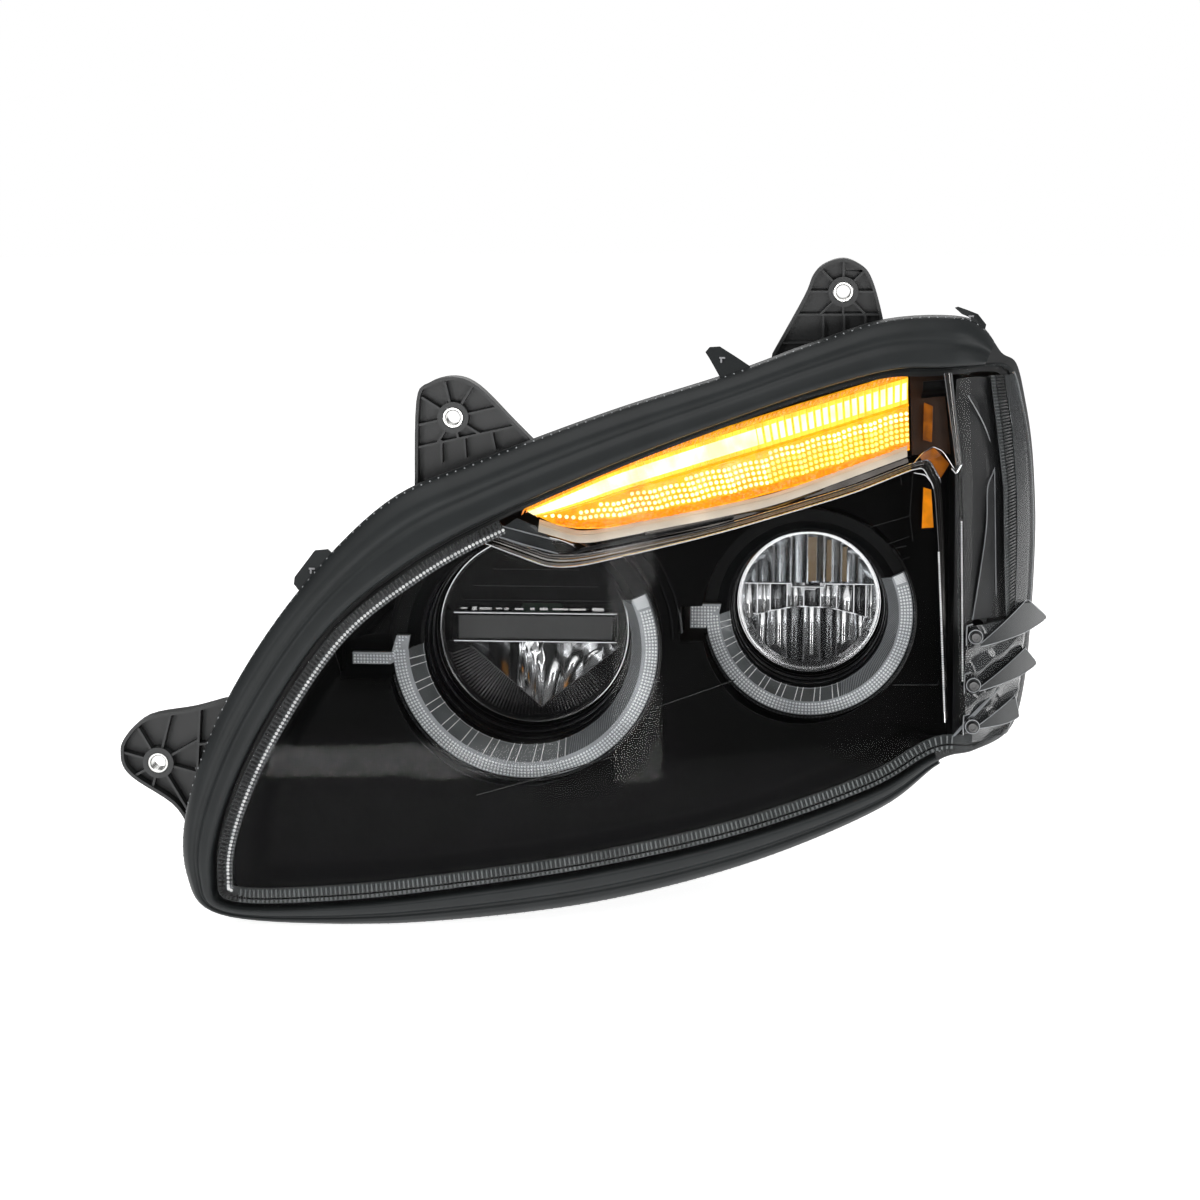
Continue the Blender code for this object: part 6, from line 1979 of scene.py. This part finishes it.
# ---------------------------------------------------------------- stage
def area_light(name, location, size, power):
    """A soft rectangular light that faces the lamp."""
    lamp = bpy.data.lights.new(name, "AREA")
    lamp.shape = "RECTANGLE"
    lamp.size, lamp.size_y = size
    lamp.energy = power
    holder = bpy.data.objects.new(name, lamp)
    bpy.context.scene.collection.objects.link(holder)
    holder.location = location
    holder.rotation_euler = (-Vector(location)).to_track_quat("-Z", "Y").to_euler()


def make_stage():
    """The plain pale floor and background, and the soft lights."""
    scene = bpy.context.scene
    scene.view_settings.view_transform = "Standard"
    world = bpy.data.worlds.new("studio")
    scene.world = world
    world.use_nodes = True
    nodes, links = world.node_tree.nodes, world.node_tree.links
    background = nodes["Background"]
    ray = nodes.new("ShaderNodeLightPath")
    strength = nodes.new("ShaderNodeMapRange")
    strength.inputs["To Min"].default_value = 0.20
    strength.inputs["To Max"].default_value = 1.0
    links.new(ray.outputs["Is Camera Ray"], strength.inputs["Value"])
    links.new(strength.outputs["Result"], background.inputs["Strength"])
    background.inputs["Color"].default_value = (1, 1, 1, 1)
    floor_z = cad_box[0][2] - 0.0005
    mesh = bpy.data.meshes.new("floor")
    work = bmesh.new()
    bmesh.ops.create_circle(work, cap_ends=True, segments=96, radius=9.0)
    work.to_mesh(mesh)
    work.free()
    floor = bpy.data.objects.new("floor", mesh)
    bpy.context.scene.collection.objects.link(floor)
    floor.location = (0, 0, floor_z)
    paper = surface("pale_paper", "", (0.93, 0.93, 0.93), 0.9, grain=60, relief=0.02, mottle=0.01,
                    Specular_IOR_Level=0.0, Emission_Color=(1, 1, 1, 1), Emission_Strength=0.86)
    mesh.materials.append(paper)
    for light in LIGHTS:
        area_light(*light)


def make_camera():
    """The camera, a little above and outboard of straight ahead."""
    lens = bpy.data.cameras.new("camera")
    lens.lens = 85
    lens.sensor_width = 36
    holder = bpy.data.objects.new("camera", lens)
    bpy.context.scene.collection.objects.link(holder)
    target = Vector(CAMERA_TARGET)
    azimuth, elevation = math.radians(CAMERA_AZIMUTH), math.radians(CAMERA_ELEVATION)
    offset = Vector((math.sin(azimuth) * math.cos(elevation), -math.cos(azimuth) * math.cos(elevation),
                     math.sin(elevation)))
    holder.location = target + offset * CAMERA_DISTANCE
    holder.rotation_euler = (target - holder.location).to_track_quat("-Z", "Y").to_euler()
    bpy.context.scene.camera = holder


def build():
    """Every piece of the lamp on its stage."""
    for make in (make_camera, make_stage, make_tub, make_rear_wall, make_rear_ribs, make_turrets,
                 make_wall_bosses, make_tabs, make_limiters, make_hood_seal, make_seal_teeth, make_outer_lens,
                 make_lens_border, make_lens_bosses, make_lens_screws, make_bezel, make_bowl_rims,
                 make_bezel_lines, make_crescents, make_side_panel, make_wrap_ribs, make_wrap_skin,
                 make_hatched_patch, make_trim_strip, make_side_trim, make_brow, make_signal_lens,
                 make_signal_border, make_signal_lamps, make_signal_tray, make_signal_ledge,
                 make_signal_nose, make_marker):
        make()
    for label, beam, arm, wall, shrink, bowl_finish in (("low", LOW, LOW_ARM, 22.0, 8.6, "gloss"),
                                                        ("high", HIGH, HIGH_ARM, 16.0, 7.6, "reflector")):
        make_halo(label, beam, arm)
        make_guide_wall(label, beam, wall, shrink)
        make_collar(label, beam, wall, shrink)
        make_glass_ring(label, beam)
        make_bowl(label, beam, bowl_finish)
    make_low_facets()
    for make in (make_low_surround, make_low_bar, make_low_hood):
        make(LOW["x"], LOW["z"])
    make_high_flutes(HIGH["x"], HIGH["z"])
    make_high_shelf(HIGH["x"], HIGH["z"] + SHELF_RISE)
    for make in (make_high_facets, make_high_teeth):
        make(HIGH["x"], HIGH["z"])
    for make in (make_caps, make_adjuster, make_driver, make_vent, finish_kept_nodes):
        make()


build()
